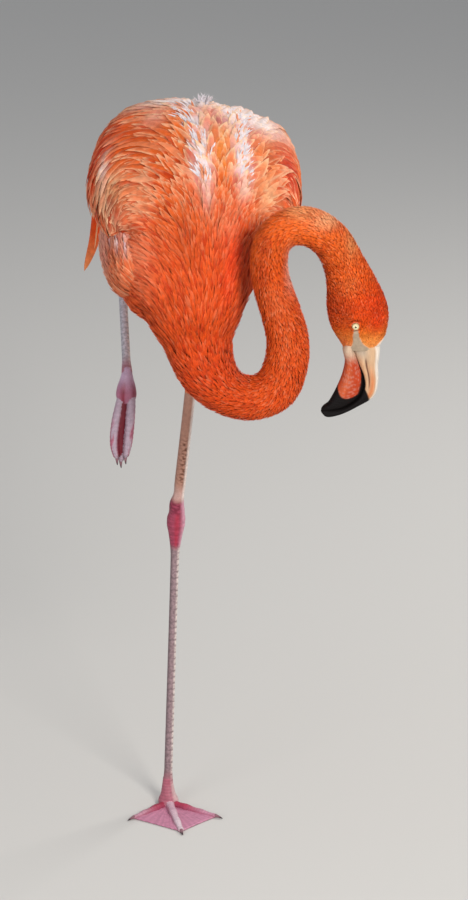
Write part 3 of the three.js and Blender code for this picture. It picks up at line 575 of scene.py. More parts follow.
def mesh_object(name, points, faces, tints, materials, face_material=None):
    """A piece in metres at the origin, from points in millimetres. tints are linear colours of the points."""
    mesh = bpy.data.meshes.new(name)
    mesh.from_pydata(np.asarray(points) * MM, [], faces)
    if face_material is not None:
        mesh.polygons.foreach_set("material_index", np.asarray(face_material, np.int32))
    mesh.polygons.foreach_set("use_smooth", np.ones(len(mesh.polygons), bool))
    colours = np.ones((len(points), 4), np.float32)
    colours[:, :np.shape(tints)[1]] = tints
    layer = mesh.attributes.new("tint", "FLOAT_COLOR", "POINT")
    layer.data.foreach_set("color", colours.ravel())
    for material in materials:
        mesh.materials.append(material)
    mesh.update()
    made = bpy.data.objects.new(name, mesh)
    bpy.context.scene.collection.objects.link(made)
    return made


def sleeve_faces(rows, columns, start=0):
    """Quads of a sleeve with closed ends, which face out if the columns turn right-handed along the rows."""
    faces = []
    for i in range(rows - 1):
        for j in range(columns):
            k = (j + 1) % columns
            a = start + i * columns
            faces.append((a + j, a + k, a + columns + k, a + columns + j))
    first, last = start + rows * columns, start + rows * columns + 1
    for j in range(columns):
        k = (j + 1) % columns
        faces.append((first, start + k, start + j))
        end = start + (rows - 1) * columns
        faces.append((last, end + j, end + k))
    return faces


class Skin:
    """Closed sleeves that become one skin. Each keeps its colours and its kind of skin."""

    def __init__(self):
        self.parts = []

    def add(self, grid, tints, kind):
        rows, columns = grid.shape[:2]
        points = np.vstack([grid.reshape(-1, 3), grid[0].mean(axis=0), grid[-1].mean(axis=0)])
        flat = tints.reshape(-1, 3)
        flat = np.vstack([flat, tints[0].mean(axis=0), tints[-1].mean(axis=0)])
        kinds = np.broadcast_to(kind, (rows, columns)).reshape(-1)
        kinds = np.concatenate([kinds, [kinds[0]], [kinds[-1]]])
        self.parts.append((points, sleeve_faces(rows, columns), flat, kinds))


def face_outward(made):
    shape = bmesh.new()
    shape.from_mesh(made.data)
    if shape.calc_volume(signed=True) < 0:
        bmesh.ops.reverse_faces(shape, faces=shape.faces)
    shape.to_mesh(made.data)
    shape.free()


def solid_piece(name, grid, tint, material, node, bulge=0):
    """A closed sleeve as a piece of its own. bulge moves the point that closes its first ring."""
    points = np.vstack([grid.reshape(-1, 3), grid[0].mean(axis=0) + bulge, grid[-1].mean(axis=0)])
    tints = np.vstack([tint.reshape(-1, 3), tint[0, :1], tint[-1, :1]])
    made = mesh_object(name, points, sleeve_faces(*grid.shape[:2]), tints, [material])
    face_outward(made)
    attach(made, "root")
    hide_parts(node)


def join_as_one(name, skin, materials):
    """Unites the sleeves to one closed skin, which takes colours and kinds from the nearest old points."""
    solids = []
    for index, (points, faces, tints, kinds) in enumerate(skin.parts):
        solid = mesh_object(f"{name}_{index}", points, faces, tints, [])
        face_outward(solid)
        solids.append(solid)
    whole = solids[0]
    for other in solids[1:]:
        union = whole.modifiers.new("union", "BOOLEAN")
        union.operation = "UNION"
        union.solver = "MANIFOLD"
        union.object = other
        result = bpy.data.meshes.new_from_object(whole.evaluated_get(bpy.context.evaluated_depsgraph_get()))
        whole.modifiers.clear()
        whole.data = result
    places = np.vstack([part[0] for part in skin.parts])
    tints = np.vstack([part[2] for part in skin.parts])
    kinds = np.concatenate([part[3] for part in skin.parts])
    tree = KDTree(len(places))
    for index, place in enumerate(places):
        tree.insert(place, index)
    tree.balance()
    mesh = whole.data
    nearest = np.array([tree.find(Vector(v.co) / MM)[1] for v in mesh.vertices])
    points = np.array([v.co for v in mesh.vertices]) / MM
    faces = [tuple(p.vertices) for p in mesh.polygons]
    kind = [int(np.max(kinds[nearest[list(face)]])) for face in faces]
    made = mesh_object(name, points, faces, tints[nearest], materials, kind)
    for solid in solids:
        bpy.data.objects.remove(solid)
    return made


# ---- Feather vanes ----

OF_PATCH = 0.003           # side of a feather's patch on the unwrap for the baked colours
PALE_VANE = linear("#f0b48c")
DOWN_TINT = linear("#e6dde2")
PARTING_TINT = linear("#e9916a")


class Coat:
    """One piece of many closed vanes."""

    def __init__(self, name):
        self.name = name
        self.points, self.faces, self.tints, self.vane, self.bake, self.roles = [], [], [], [], [], []
        self.size = 0

    def add(self, ridge, side, normal, half, camber, shares, tints, pale, bake, columns):
        """ridge [vane, row + tip, 3] is the line of the shafts, side and normal are its frames, and half
        [vane, row] is the half widths."""
        count, rows = half.shape
        spread = np.linspace(-1, 1, columns)
        arch = (1 - spread ** 2) - 1
        body = ridge[:, :-1, None, :] + side[:, :-1, None, :] * (half[..., None] * spread)[..., None] \
            + normal[:, :-1, None, :] * (half[..., None] * arch * camber[:, None, None])[..., None]
        points = np.concatenate([body.reshape(count, rows * columns, 3), ridge[:, -1:, :]], axis=1)
        stride = rows * columns + 1
        tip = rows * columns
        faces = []
        for i in range(rows - 1):
            a, b = i * columns, (i + 1) * columns
            for j in range(columns - 1):
                faces += [(a + j, a + j + 1, b + j + 1), (a + j, b + j + 1, b + j)]
            right = columns - 1
            faces += [(a, b, b + right), (a, b + right, a + right)]
        a = (rows - 1) * columns
        faces += [(a + j, a + j + 1, tip) for j in range(columns - 1)]
        faces.append((a, tip, a + columns - 1))
        faces += [(0, j + 1, j) for j in range(1, columns - 1)]
        faces = np.array(faces)
        offsets = self.size + np.arange(count)[:, None, None] * stride
        self.faces.append((faces[None] + offsets).reshape(-1, 3))
        self.points.append(points.reshape(-1, 3))
        along = np.concatenate([np.repeat(shares[:-1], columns), [1.0]])
        across = np.concatenate([np.tile((spread + 1) / 2, rows), [0.5]])
        vane = np.stack([across, along], axis=1)
        self.vane.append(np.tile(vane, (count, 1)))
        patch = bake[:, None, :] + (vane[None] - 0.5) * OF_PATCH
        self.bake.append(patch.reshape(-1, 2))
        colour = np.concatenate([tints, np.broadcast_to(pale[:, None, None], (*tints.shape[:2], 1))], axis=2)
        body_colour = np.repeat(colour[:, :-1], columns, axis=1)
        self.tints.append(np.concatenate([body_colour, colour[:, -1:]], axis=1).reshape(-1, 4))
        role = np.concatenate([np.tile([1] + [0] * (columns - 2) + [2], rows), [3]])
        self.roles.append(np.tile(role, count))
        self.size += count * stride

    def build(self, material, slot, *nodes):
        points = np.vstack(self.points)
        faces = np.vstack(self.faces)
        mesh = bpy.data.meshes.new(self.name)
        mesh.vertices.add(len(points))
        mesh.vertices.foreach_set("co", (points * MM).astype(np.float32).ravel())
        mesh.loops.add(faces.size)
        mesh.loops.foreach_set("vertex_index", faces.astype(np.int32).ravel())
        mesh.polygons.add(len(faces))
        mesh.polygons.foreach_set("loop_start", np.arange(0, faces.size, 3, dtype=np.int32))
        mesh.polygons.foreach_set("use_smooth", np.ones(len(faces), bool))
        mesh.update(calc_edges=True)
        colours = mesh.attributes.new("tint", "FLOAT_COLOR", "POINT")
        colours.data.foreach_set("color", np.vstack(self.tints).astype(np.float32).ravel())
        for uv_name, places in (("Vane", np.vstack(self.vane)), ("OFBake", np.vstack(self.bake))):
            layer = mesh.uv_layers.new(name=uv_name)
            layer.data.foreach_set("uv", places[faces.ravel()].astype(np.float32).ravel())
        roles = np.concatenate(self.roles)
        ends = np.zeros(len(mesh.edges) * 2, np.int32)
        mesh.edges.foreach_get("vertices", ends)
        pair = np.sort(roles[ends.reshape(-1, 2)], axis=1)
        sharp = ((pair[:, 0] > 0) & ((pair[:, 0] == pair[:, 1]) | (pair[:, 1] == 3)))
        mesh.attributes.new("sharp_edge", "BOOLEAN", "EDGE").data.foreach_set("value", sharp)
        mesh.materials.append(material)
        mesh.validate()
        made = bpy.data.objects.new(self.name, mesh)
        bpy.context.scene.collection.objects.link(made)
        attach(made, "root")
        if nodes:
            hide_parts(*nodes)


def frames_of(path, normal):
    """Side and normal directions along lines [vane, row, 3]."""
    ahead = unit(np.gradient(path, axis=1))
    side = unit(np.cross(ahead, normal))
    return side, unit(np.cross(side, ahead))


STEPS_BETWEEN = 2          # steps along the flow between two rows of a vane


def run_over(tube, rows, columns, length, shares, sway):
    """Paths over a tube from roots: lists of rows, columns for each share of the length."""
    path = [(rows, columns)]
    c, s = np.cos(sway), np.sin(sway)
    for k in range(1, len(shares)):
        step = (shares[k] - shares[k - 1]) * length / STEPS_BETWEEN
        for _ in range(STEPS_BETWEEN):
            row_step = tube.read(tube.row_step, rows, columns)
            column_step = tube.read(tube.column_step, rows, columns)
            on_row = tube.read(tube.flow_row, rows, columns) * row_step
            on_column = tube.read(tube.flow_column, rows, columns) * column_step
            rows = rows + (on_row * c - on_column * s) / row_step * step
            columns = columns + (on_column * c + on_row * s) / column_step * step
        path.append((rows, columns))
    return path


def grow(coat, tube, roots, length, half, shape, depth, tint_at, pale, unwrap, camber=0.3, sway=0.12,
         lift=0.12, columns=3, start=0.1, variety=0.5, fleck=0.5, rise=0.75, roll=0.14):
    """Adds vanes that root on a tube, run along its flow and rise through the coat's depth to the tip.
    shape lists (share of length, share of half width) up to the tip. variety sets how deep the tint of some
    is, and fleck how pale that of others."""
    rows, cols = roots
    count = len(rows)
    if count == 0:
        return
    shares = np.array([share for share, _ in shape] + [1.0])
    turn = rng.normal(0, sway, count)
    path = run_over(tube, rows, cols, length, shares, turn)
    height = depth * (1 + rng.normal(0, lift, count))
    line, normals, tints = [], [], []
    for share, (r, c) in zip(shares, path):
        n = unit(tube.read(tube.normal, r, c))
        up = height * (start + (1 - start) * share ** rise)
        line.append(tube.read(tube.points, r, c) + n * up[:, None])
        normals.append(n)
        tints.append(tint_at(r, c))
    line, normals, tints = (np.stack(part, axis=1) for part in (line, normals, tints))
    tone = rng.normal(0, 1, count)[:, None, None]
    deep = np.clip(-0.2 - tone, 0, 1.2) * variety
    light = np.clip(tone - 0.6, 0, 1.2) * fleck
    # White places keep clean; elsewhere some vanes are deeper than others.
    deep = deep * (1 - 0.85 * smooth_step(0.3, 0.7, tints[..., 2:]))
    # Each vane is darker at its root than at its tip: painted shade where the vanes above lap over it.
    tints = tints * (1 - deep * np.array((0.22, 0.48, 0.55))) * (0.74 + 0.34 * shares)[None, :, None]
    tints = tints + (PALE_VANE - tints) * light * 0.5
    side, up = frames_of(line, normals)
    roll = rng.normal(0, roll, count)[:, None, None]
    side, up = side * np.cos(roll) + up * np.sin(roll), up * np.cos(roll) - side * np.sin(roll)
    widths = half[:, None] * np.array([width for _, width in shape])[None]
    bake = unwrap(rows, cols)
    coat.add(line, side, up, widths, np.full(count, camber), shares, np.clip(tints, 0, 1), pale, bake,
             columns)


# ---- Body, neck and head sleeve ----

FLANK_FILL, FLANK_REACH = 8, 26        # depth of the flesh beside the raised thigh, and how far it reaches
ANGLES = full_circle(128)
STATIONS = np.concatenate([np.linspace(REAR, NECK_BASE, 96), np.linspace(NECK_BASE, 22.5, 170)[1:],
                           np.linspace(22.5, BILL_BASE, 100)[1:]])
TURN = np.degrees((ANGLES + np.pi) % (2 * np.pi) - np.pi)


def shape_head(points):
    """Lifts the bare face to the outline and shapes sockets, brows and the hollow before the eye."""
    x, z = face_flat(points)
    side = np.sign(points[..., 1] - HEAD_MIDPLANE)
    out = np.abs(points[..., 1] - HEAD_MIDPLANE)
    lateral = smooth_step(5, 10, out)
    from_eye = past_eye(points)
    near_eye = (from_eye < 9) & (out > 8)
    ball = EYE_OUT + np.sqrt(np.clip((EYE_RADIUS + 0.35) ** 2 - from_eye ** 2, 0, None))
    lid = smooth_step(3.0, 3.9, from_eye) * (1 - smooth_step(5.0, 8.2, from_eye))
    hidden = 1 - smooth_step(3.0, 3.9, from_eye)
    shift = np.where(near_eye, (np.minimum(ball, EYE_OUT + 4.4) - out) * lid, 0)
    shift = np.where(near_eye, shift * (1 - hidden) + (EYE_OUT + 1.5 - out) * hidden, shift)
    brow = np.exp(-((x + 0.5) / 7) ** 2 - ((z - 41.5) / 2.4) ** 2)
    hollow = 1.2 * np.exp(-((x - 1.5) / 4.5) ** 2 - ((z - 17) / 7) ** 2)
    points = points.copy()
    points[..., 1] += side * (shift + (brow - hollow) * lateral)
    return points


def past_thigh(points):
    """Millimetres from the side of the raised thigh, less than 0 inside it."""
    route = np.array(RAISED_THIGH, float)
    where = np.linspace(0, len(route) - 1, 61)
    centre = curve(route[:, :3], where)
    across, up = across_and_up(unit(np.gradient(centre, axis=0)), X_AXIS)
    sizes = np.column_stack([np.arange(len(route)), route[:, 3:]])
    offset = points[..., None, :] - centre
    near = np.argmin(np.sum(offset ** 2, axis=-1), axis=-1)
    offset = np.take_along_axis(offset, near[..., None, None], axis=-2)[..., 0, :]
    share = np.hypot(np.sum(offset * across[near], axis=-1) / profile(sizes, where, 1)[near],
                     np.sum(offset * up[near], axis=-1) / profile(sizes, where, 2)[near])
    return np.linalg.norm(offset, axis=-1) * (1 - 1 / np.maximum(share, 0.05))


body_points = shape_head(body_surface(STATIONS, ANGLES, body_coat))
# Flesh fills the hollow between the breast and the raised thigh.
flank = (STATIONS > 5.8) & (STATIONS < 8.6)
fill = FLANK_FILL * (1 - smooth_step(0, FLANK_REACH, past_thigh(body_points[flank])))
fill = fill * (smooth_step(5.95, 6.25, STATIONS[flank])
               * (1 - smooth_step(7.6, 8.6, STATIONS[flank])))[:, None]
body_points[flank] += Tube(body_points).normal[flank] * fill[..., None]
bare = bare_face(body_points)
bare_lift = body_surface(STATIONS, ANGLES, lambda s, degrees: 0.25 + 0 * s * degrees) \
    - body_surface(STATIONS, ANGLES, body_coat)
eye_near = past_eye(body_points)
body_points = body_points + bare_lift * (bare * smooth_step(5.5, 9, eye_near))[..., None]
body_sleeve = Tube(body_points)
GRID_S, GRID_TURN = np.meshgrid(STATIONS, TURN, indexing="ij")
body_colours = body_tint(GRID_S, GRID_TURN, body_points)
face_x, face_z = face_flat(body_points)
lore_tint = toward(linear("#a4907a"), "#c08c70", smooth_step(24, 40, face_z))
lore_tint = toward(lore_tint, "#ddd0c2", smooth_step(17, 24, face_x))
# The skin under the body's coat is darker up to the neck: painted shade between the feathers.
painted_shade_under_coat = 0.66 + 0.34 * smooth_step(7.5, 11, GRID_S)[..., None]
skin_colours = body_colours * painted_shade_under_coat * (1 - bare[..., None]) + lore_tint * bare[..., None]
lid_line = smooth_step(3.2, 3.5, eye_near) * (1 - smooth_step(4.0, 4.4, eye_near)) \
    * (np.abs(body_points[..., 1] - HEAD_MIDPLANE) > 8)
skin_colours = toward(skin_colours, "#4e2418", lid_line)
body_kind = np.where(bare > 0.5, FACE, HIDE)

# The way the feathers lie: from bill to tail, but round a point on each shoulder, so the long plumes
# arch up over the wing and hang down at its side. They part along a line on each side of the mantle.
SHOULDER = (5.9, 60)
PARTINGS = {1: [(1, 22), (2.5, 18), (4.2, 11), (4.53, 6), (5.16, -2), (5.67, -6), (6.2, -10)],
            -1: [(1, -22), (2.5, -22), (4, -25), (4.51, -28), (5.13, -31), (5.55, -36), (6.2, -44)]}
# Half widths of the white along the partings, in degrees.
PARTING_HALF = {1: [(3.7, 2.0), (4.4, 2.6), (5.0, 4.2), (5.4, 3.0), (5.75, 0.6)],
                -1: [(3.7, 4.5), (4.4, 2.8), (5.0, 3.0), (5.3, 1.6), (5.5, 0)]}


def past_parting(s, degrees, wing):
    """Degrees from the parting towards a wing: 1 for the bird's right, -1 for its left."""
    return (degrees - profile(PARTINGS[wing], s)) * wing


flow = -body_sleeve.row_way
for wing in (1, -1):
    row = int(np.argmin(np.abs(STATIONS - SHOULDER[0])))
    column = int(np.argmin(np.abs(TURN - wing * SHOULDER[1])))
    focus, axis = body_points[row, column], body_sleeve.normal[row, column]
    around = unit(np.cross(axis * wing, body_points - focus))
    if np.dot(around[row - 14, column], body_sleeve.column_way[row - 14, column] * wing) < 0:
        around = -around
    arch = smooth_step(-1, 13, past_parting(GRID_S, GRID_TURN, wing)) * (1 - smooth_step(5.75, 6.35, GRID_S))
    arch = arch * (1 - 0.45 * (1 - smooth_step(2.2, 3.8, GRID_S)))
    arch = arch * (1 - smooth_step(122, 150, GRID_TURN * wing))
    flow = unit(flow * (1 - arch[..., None]) + around * arch[..., None])

# The coat is combed where it is seen best. The comb's map lies on a board that leans back by LEAN:
# [x, height on the board, lie], with the lie in degrees from straight up towards the bird's right.
LEAN = math.radians(19)
COMB = [(14, 767, 80), (-7, 766, 96), (-29, 761, 109), (-50, 751, 121), (-66, 735, 143), (-75, 716, 163),
        (-82, 694, 175), (-82, 673, 189), (-75, 652, 204), (-68, 639, 217), (24, 753, 49), (-2, 748, 78),
        (-23, 742, 96), (-45, 728, 120), (-60, 705, 153), (-65, 679, 180), (-60, 652, 200), (30, 726, 37),
        (14, 726, 55), (-7, 724, 75), (-29, 718, 96), (-45, 705, 133), (-52, 684, 163), (-50, 663, 182),
        (35, 700, 33), (14, 703, 49), (-7, 700, 66), (-23, 694, 88), (-34, 679, 106), (-18, 679, 75),
        (-23, 663, 90), (-39, 650, 108), (-7, 668, 60), (-13, 650, 62), (8, 673, 41), (6, 641, 48),
        (-18, 630, 64), (35, 652, 24), (46, 620, 12), (12, 608, 42), (-18, 603, 56), (-33, 628, 66),
        (-34, 610, 64), (-32, 590, 56), (-18, 578, 44), (18, 580, 28), (37, 587, 14), (20, 560, 20),
        (51, 684, 5), (61, 716, 0), (61, 652, -6), (77, 620, -14), (88, 578, -6), (81, 705, -9),
        (88, 726, -24), (101, 742, -49), (98, 711, -45), (113, 733, -68), (129, 731, -131),
        (138, 711, -163), (140, 687, -188), (105, 695, -56), (122, 703, -65), (113, 679, -51),
        (98, 671, -34), (81, 663, -20)]
COMB_REACH = 13
TRUNK_ROWS = STATIONS < 8.2
board_up = np.array((0, math.sin(LEAN), math.cos(LEAN)))
board_in = np.array((0, math.cos(LEAN), -math.sin(LEAN)))
trunk_points, trunk_normal = body_points[TRUNK_ROWS], body_sleeve.normal[TRUNK_ROWS]
comb = np.array(COMB, float)
lies = np.column_stack([-np.sin(np.radians(comb[:, 2])), np.cos(np.radians(comb[:, 2]))])
spread = np.hypot(trunk_points[..., 0, None] - comb[:, 0], (trunk_points @ board_up)[..., None] - comb[:, 1])
pull = np.exp(-(spread / COMB_REACH) ** 2)
lie = np.sum(pull[..., None] * lies, axis=-2) / np.maximum(np.sum(pull, axis=-1), 1e-6)[..., None]
facing = -trunk_normal @ board_in
# A way on the board becomes a way along the surface behind it.
slope = lie[..., 0] * trunk_normal[..., 0] + lie[..., 1] * (trunk_normal @ board_up)
slope = slope / np.maximum(facing, 0.3)
combed = unit(lie[..., :1] * X_AXIS + lie[..., 1:] * board_up + slope[..., None] * board_in)
hold = (1 - np.exp(-2.5 * np.sum(pull, axis=-1))) * smooth_step(-0.05, 0.25, facing)
flow[TRUNK_ROWS] = unit(flow[TRUNK_ROWS] * (1 - hold[..., None]) + combed * hold[..., None])
body_sleeve.set_flow(flow)


def body_place(rows, columns):
    """Point of the spine and signed degrees at rows and columns of the body's sleeve."""
    s = np.interp(rows, np.arange(len(STATIONS)), STATIONS)
    degrees = (columns * 360 / len(ANGLES) + 180) % 360 - 180
    return s, degrees


def body_cell(places):
    """Rows and columns for places (point of the spine, signed degrees)."""
    places = np.array(places, float)
    rows = np.interp(places[:, 0], STATIONS, np.arange(len(STATIONS)))
    return rows, (places[:, 1] % 360) * len(ANGLES) / 360


def body_tint_at(rows, columns):
    return body_tint(*body_place(rows, columns), body_sleeve.read(body_points, rows, columns))


def body_unwrap(rows, columns):
    """Places on the unwrap for the baked colours. The body takes its lower part, the thighs its top."""
    around = (columns % len(ANGLES)) / len(ANGLES)
    return np.stack([0.01 + 0.98 * rows / body_sleeve.rows, 0.01 + 0.7 * around], axis=1)


# ---- Thighs ----

def route_sleeve(stations, rows, columns, inset):
    """A sleeve along points (x, y, z, half width, half thickness)."""
    stations = np.array(stations, float)
    where = np.linspace(0, len(stations) - 1, rows)
    centre = curve(stations[:, :3], where)
    across, up = across_and_up(unit(np.gradient(centre, axis=0)), X_AXIS)
    sizes = np.column_stack([np.arange(len(stations)), stations[:, 3:]])
    width = np.maximum(profile(sizes, where, 1) - inset, 0.15)
    thick = np.maximum(profile(sizes, where, 2) - inset, 0.15)
    return rings(centre, across[:, None], up[:, None], full_circle(columns), width[:, None], thick[:, None])


def close_ends(grid, start, end):
    """Rounds the ends of a sleeve over some rows."""
    grid = grid.copy()
    rows = len(grid)
    middle = grid.mean(axis=1, keepdims=True)
    share = np.ones(rows)
    for over, from_end in ((start, np.arange(rows)), (end, np.arange(rows)[::-1])):
        if over:
            round_off = 1 - np.clip(1 - (from_end + 0.15) / over, 0, 1) ** 2
            share = np.minimum(share, np.sqrt(np.clip(round_off, 0.001, 1)))
    return middle + (grid - middle) * share[:, None, None]


THIGH_COLUMNS = 48
RAISED_COAT, STANDING_COAT = 4.6, 3.4      # depth of the coat on each thigh
thigh_right = close_ends(route_sleeve(RAISED_THIGH, 56, THIGH_COLUMNS, RAISED_COAT), 9, 6)
thigh_left_route = [tuple(HOCK + (KNEE - HOCK) * share) + (size, size) for share, size in STANDING_THIGH]
thigh_left = close_ends(route_sleeve(thigh_left_route, 60, THIGH_COLUMNS, STANDING_COAT), 6, 6)

THIGH_TINTS = [(0, "#de6434"), (0.3, "#dc6c42"), (0.7, "#e07c50"), (1, "#de7040")]


def thigh_tint(rows, total):
    return tint_between(THIGH_TINTS, rows / total)


# ---- Legs ----

LEG_TINT = linear("#957c80")
SHIN_TINT = linear("#a87a68")
JOINT_TINT = linear("#a04058")
JOINT_DARK = linear("#6e1830")
RAISED_LEG_TINT = linear("#d6d0d8")
HIGHLIGHT = linear("#efe0d8")
# [millimetres from the middle of the hock, radius]
SHIN_SIZE = [(-7, 9.6), (0, 10.2), (4, 10.2), (9, 9.1), (14, 8.7), (20, 8.4), (27, 7.5), (33, 6.4),
             (39, 5.9), (51, 6.3), (120, 6.1), (220, 6.1)]
TARSUS_SIZE = [(-7, 9.8), (0, 10.2), (5, 10.1), (10, 9.1), (14, 8.2), (22, 6.8), (29, 5.8), (37, 5.0),
               (46, 4.7), (90, 4.5), (290, 4.6)]
HOCK_LAP = 7               # shin and tarsus overlap this far beyond the middle of the hock
SCUTE = 7.4                # length of one front scute
SMALL_SCALE = 3.1          # length of one small scale behind
LEG_STEP, LEG_COLUMNS = 1.15, 28       # millimetres between the rings of a bare leg, and points in one


def leg_sleeve(low, high, sizes, scutes):
    """A bare leg from low to high. sizes are (millimetres from low, radius); scutes is their relief."""
    length = np.linalg.norm(high - low)
    along = (high - low) / length
    across, ahead = across_and_up(along, -Y_AXIS)
    travel = np.linspace(0, length, int(length / LEG_STEP))
    angle = full_circle(LEG_COLUMNS)
    plate = smooth_step(0.1, 0.6, np.cos(angle))[None, :]
    edge = np.abs(np.sin(np.pi * travel / SCUTE))[:, None] ** 0.6
    # Small scales behind, set off from their neighbours by half a scale.
    offset = np.where(np.arange(LEG_COLUMNS) % 4 < 2, 0, np.pi / 2)[None]
    scale = np.abs(np.sin(np.pi * travel[:, None] / SMALL_SCALE + offset))
    relief = scutes * (plate * (edge - 0.35) + (1 - plate) * 0.45 * (scale - 0.4))
    size = profile(sizes, travel)[:, None] + relief
    grid = rings(low + along * travel[:, None], across, ahead, angle, size, size)
    return grid, travel, plate, edge, angle


def blotches(travel, angle, pitch):
    """Irregular marks along and round a leg, mostly from -1.5 to 1.5. pitch sets their size."""
    total = 0
    for around, along, start in ((1, 0.9, 0.3), (3, -1.3, 2.1), (5, 0.6, 4.0), (2, 1.7, 1.2), (7, -0.4, 5.3),
                                 (4, -1.1, 0.8), (6, 1.5, 3.1)):
        total = total + np.sin(travel[:, None] / pitch * along + around * angle[None] + start)
    return total * 0.55


def bare_leg(knee, hock, ankle, reach, leg_tint, shin_tint, dirt):
    """Shin and tarsus, each with its share of the hock. reach is where the shin ends inside the thigh."""
    top = hock + (knee - hock) * reach
    for part, end, sizes in (("shin", top, SHIN_SIZE), ("tarsus", ankle, TARSUS_SIZE)):
        on_shin = part == "shin"
        start = hock - unit(end - hock) * HOCK_LAP
        length = np.linalg.norm(end - start)
        travel = np.linspace(0, length, 120)
        size = profile(sizes, travel - HOCK_LAP)
        size = size + 1.4 * smooth_step(length - 22, length, travel) * (not on_shin)
        grid, travel, plate, edge, angle = leg_sleeve(start, end, np.column_stack([travel, size]),
                                                      0.1 if on_shin else 0.36)
        from_hock = travel - HOCK_LAP
        # The swelling over the knob sits a little towards the bird's right.
        grid[..., 0] -= (1.2 * np.exp(-((from_hock - 24) / 8) ** 2) * on_shin)[:, None]
        grid = close_ends(grid, 6, 2)
        # Cosines of the angles from the bird's left and from its front.
        on_left, on_front = (-1 if on_shin else 1) * np.sin(angle)[None], np.cos(angle)[None]
        joint = (1 - smooth_step(26, 36, from_hock))[:, None]
        tint = np.broadcast_to(shin_tint if on_shin else leg_tint, (len(travel), len(angle), 3))
        marks = blotches(travel, angle, 0.95)
        flesh = JOINT_TINT * (0.92 + 0.12 * np.sin(from_hock * 1.9))[:, None, None]
        upper = (smooth_step(10, 18, from_hock) * on_shin)[:, None]
        mottled = smooth_step(-0.2 - 0.7 * upper, 0.9 - 0.8 * upper, marks) * (0.4 + 0.6 * upper)
        # On the bird's left the hock is painted pale pink, with its mottles faded there: a painted highlight.
        mottled = mottled * (1 - 0.8 * smooth_step(0.5, 0.85, on_left))
        flesh = toward(flesh, JOINT_DARK, 0.85 * mottled)
        flesh = toward(flesh, "#b01c34", 0.6 * np.exp(-(on_left - 0.1) ** 2 / 0.05) * (1 - upper))
        flesh = toward(flesh, "#e8b0c4", 0.6 * smooth_step(0.45, 0.9, on_left))
        tint = toward(tint, flesh, joint)
        bare_part = 1 - joint
        if on_shin:
            on_span = smooth_step(48, 60, from_hock) * (1 - smooth_step(105, 125, from_hock))
            dirty = smooth_step(-0.5, 0.9, marks) * dirt * on_span[:, None]
            dirty = dirty * (0.35 + 0.65 * smooth_step(-0.6, 0.1, on_left))
            dirty = dirty * (1 - smooth_step(0.55, 0.75, on_left))
            tint = toward(tint, "#562a16", np.clip(dirty, 0, 1))
            tint = toward(tint, "#c4a09a", 0.7 * (1 - smooth_step(36, 56, from_hock))[:, None] * bare_part)
            lit = smooth_step(0.5, 0.78, on_left) * smooth_step(-0.3, 0.2, on_front)
            tint = toward(tint, HIGHLIGHT, 0.85 * lit * bare_part)
        else:
            # The seams between the front scutes are darker: painted shade in the seams.
            groove = (1 - smooth_step(0.12, 0.5, edge)) * plate
            tint = tint * (1 - 0.2 * groove[..., None])
            lit = smooth_step(0.35, 0.85, on_left) * smooth_step(0.2, 0.8, edge)
            tint = toward(tint, HIGHLIGHT, 0.85 * lit * bare_part)
            tint = tint * (1 - 0.3 * smooth_step(0.1, 0.9, marks) * bare_part)[..., None]
            shade = smooth_step(0.1, 0.9, -on_left) * bare_part
            tint = tint * (1 - 0.3 * shade)[..., None]
            tint = toward(tint, "#a85868", 0.8 * smooth_step(length - 26, length - 4, travel)[:, None])
        kind = np.where(joint > 0.5, WEB, SCALES)
        skin.add(grid, tint, np.broadcast_to(kind, (len(travel), len(angle))))


FOOT_MIDDLE = np.array((1.0, -5, 0))
TOES = [("inner", -45, 56, 5.0), ("middle", 11.5, 78, 5.4), ("outer", 57, 65, 5.0)]
TOE_START = 4
TOE_SCUTE = 3.6            # length of one scute on a toe
WEB_TINT = linear("#c07f98")
TOE_TINT = linear("#c0929c")
TOE_TINTS = {"inner": ("#a83850", "#c08c9c"), "middle": ("#c8a4b0", "#d9c3ca"),
             "outer": ("#a83850", "#bf869a")}


def toe_way(turn):
    return np.array((math.sin(math.radians(turn)), -math.cos(math.radians(turn)), 0))


def standing_toe(name, turn, length, radius):
    """A toe flat on the floor, with pads below and rings of scutes over it."""
    way = toe_way(turn)
    across = np.array((way[1], -way[0], 0))
    columns, rows = 24, 84
    share = np.linspace(0, 1, rows)
    travel = TOE_START + (length - TOE_START) * share
    knuckle = 0.35 * np.cos(share * np.pi * 6)
    half = (radius + knuckle) * (1 - 0.36 * share) - 0.1
    high = half * (1.55 - 0.35 * share)
    angle = full_circle(columns)
    edge = np.abs(np.sin(np.pi * travel / TOE_SCUTE))
    scute = 0.28 * (edge - 0.5)[:, None] * smooth_step(0.1, 0.7, np.sin(angle))[None]
    x = np.cos(angle) * half[:, None]
    z = high[:, None] * 0.36 + np.sin(angle) * (high[:, None] * 0.64 + scute)
    grid = FOOT_MIDDLE + way * travel[:, None, None] + across * x[..., None]
    grid[..., 2] = np.maximum(z, 0)
    closed = close_ends(grid, 3, 5)
    closed[..., 2] = np.maximum(closed[..., 2], 0)
    root, tip = TOE_TINTS[name]
    tint = toward(linear(root), tip, smooth_step(0.25, 0.8, share)[:, None])
    # Darker at the seams between scutes: painted shade in the seams.
    tint = tint * (0.86 + 0.18 * edge[:, None, None]) * np.ones((rows, columns, 1))
    # The toe's flanks are darker and redder than its back: painted shade on the flanks.
    return closed, toward(tint, "#a04c66", 0.55 * (1 - smooth_step(0.3, 0.8, np.sin(angle)))[None])


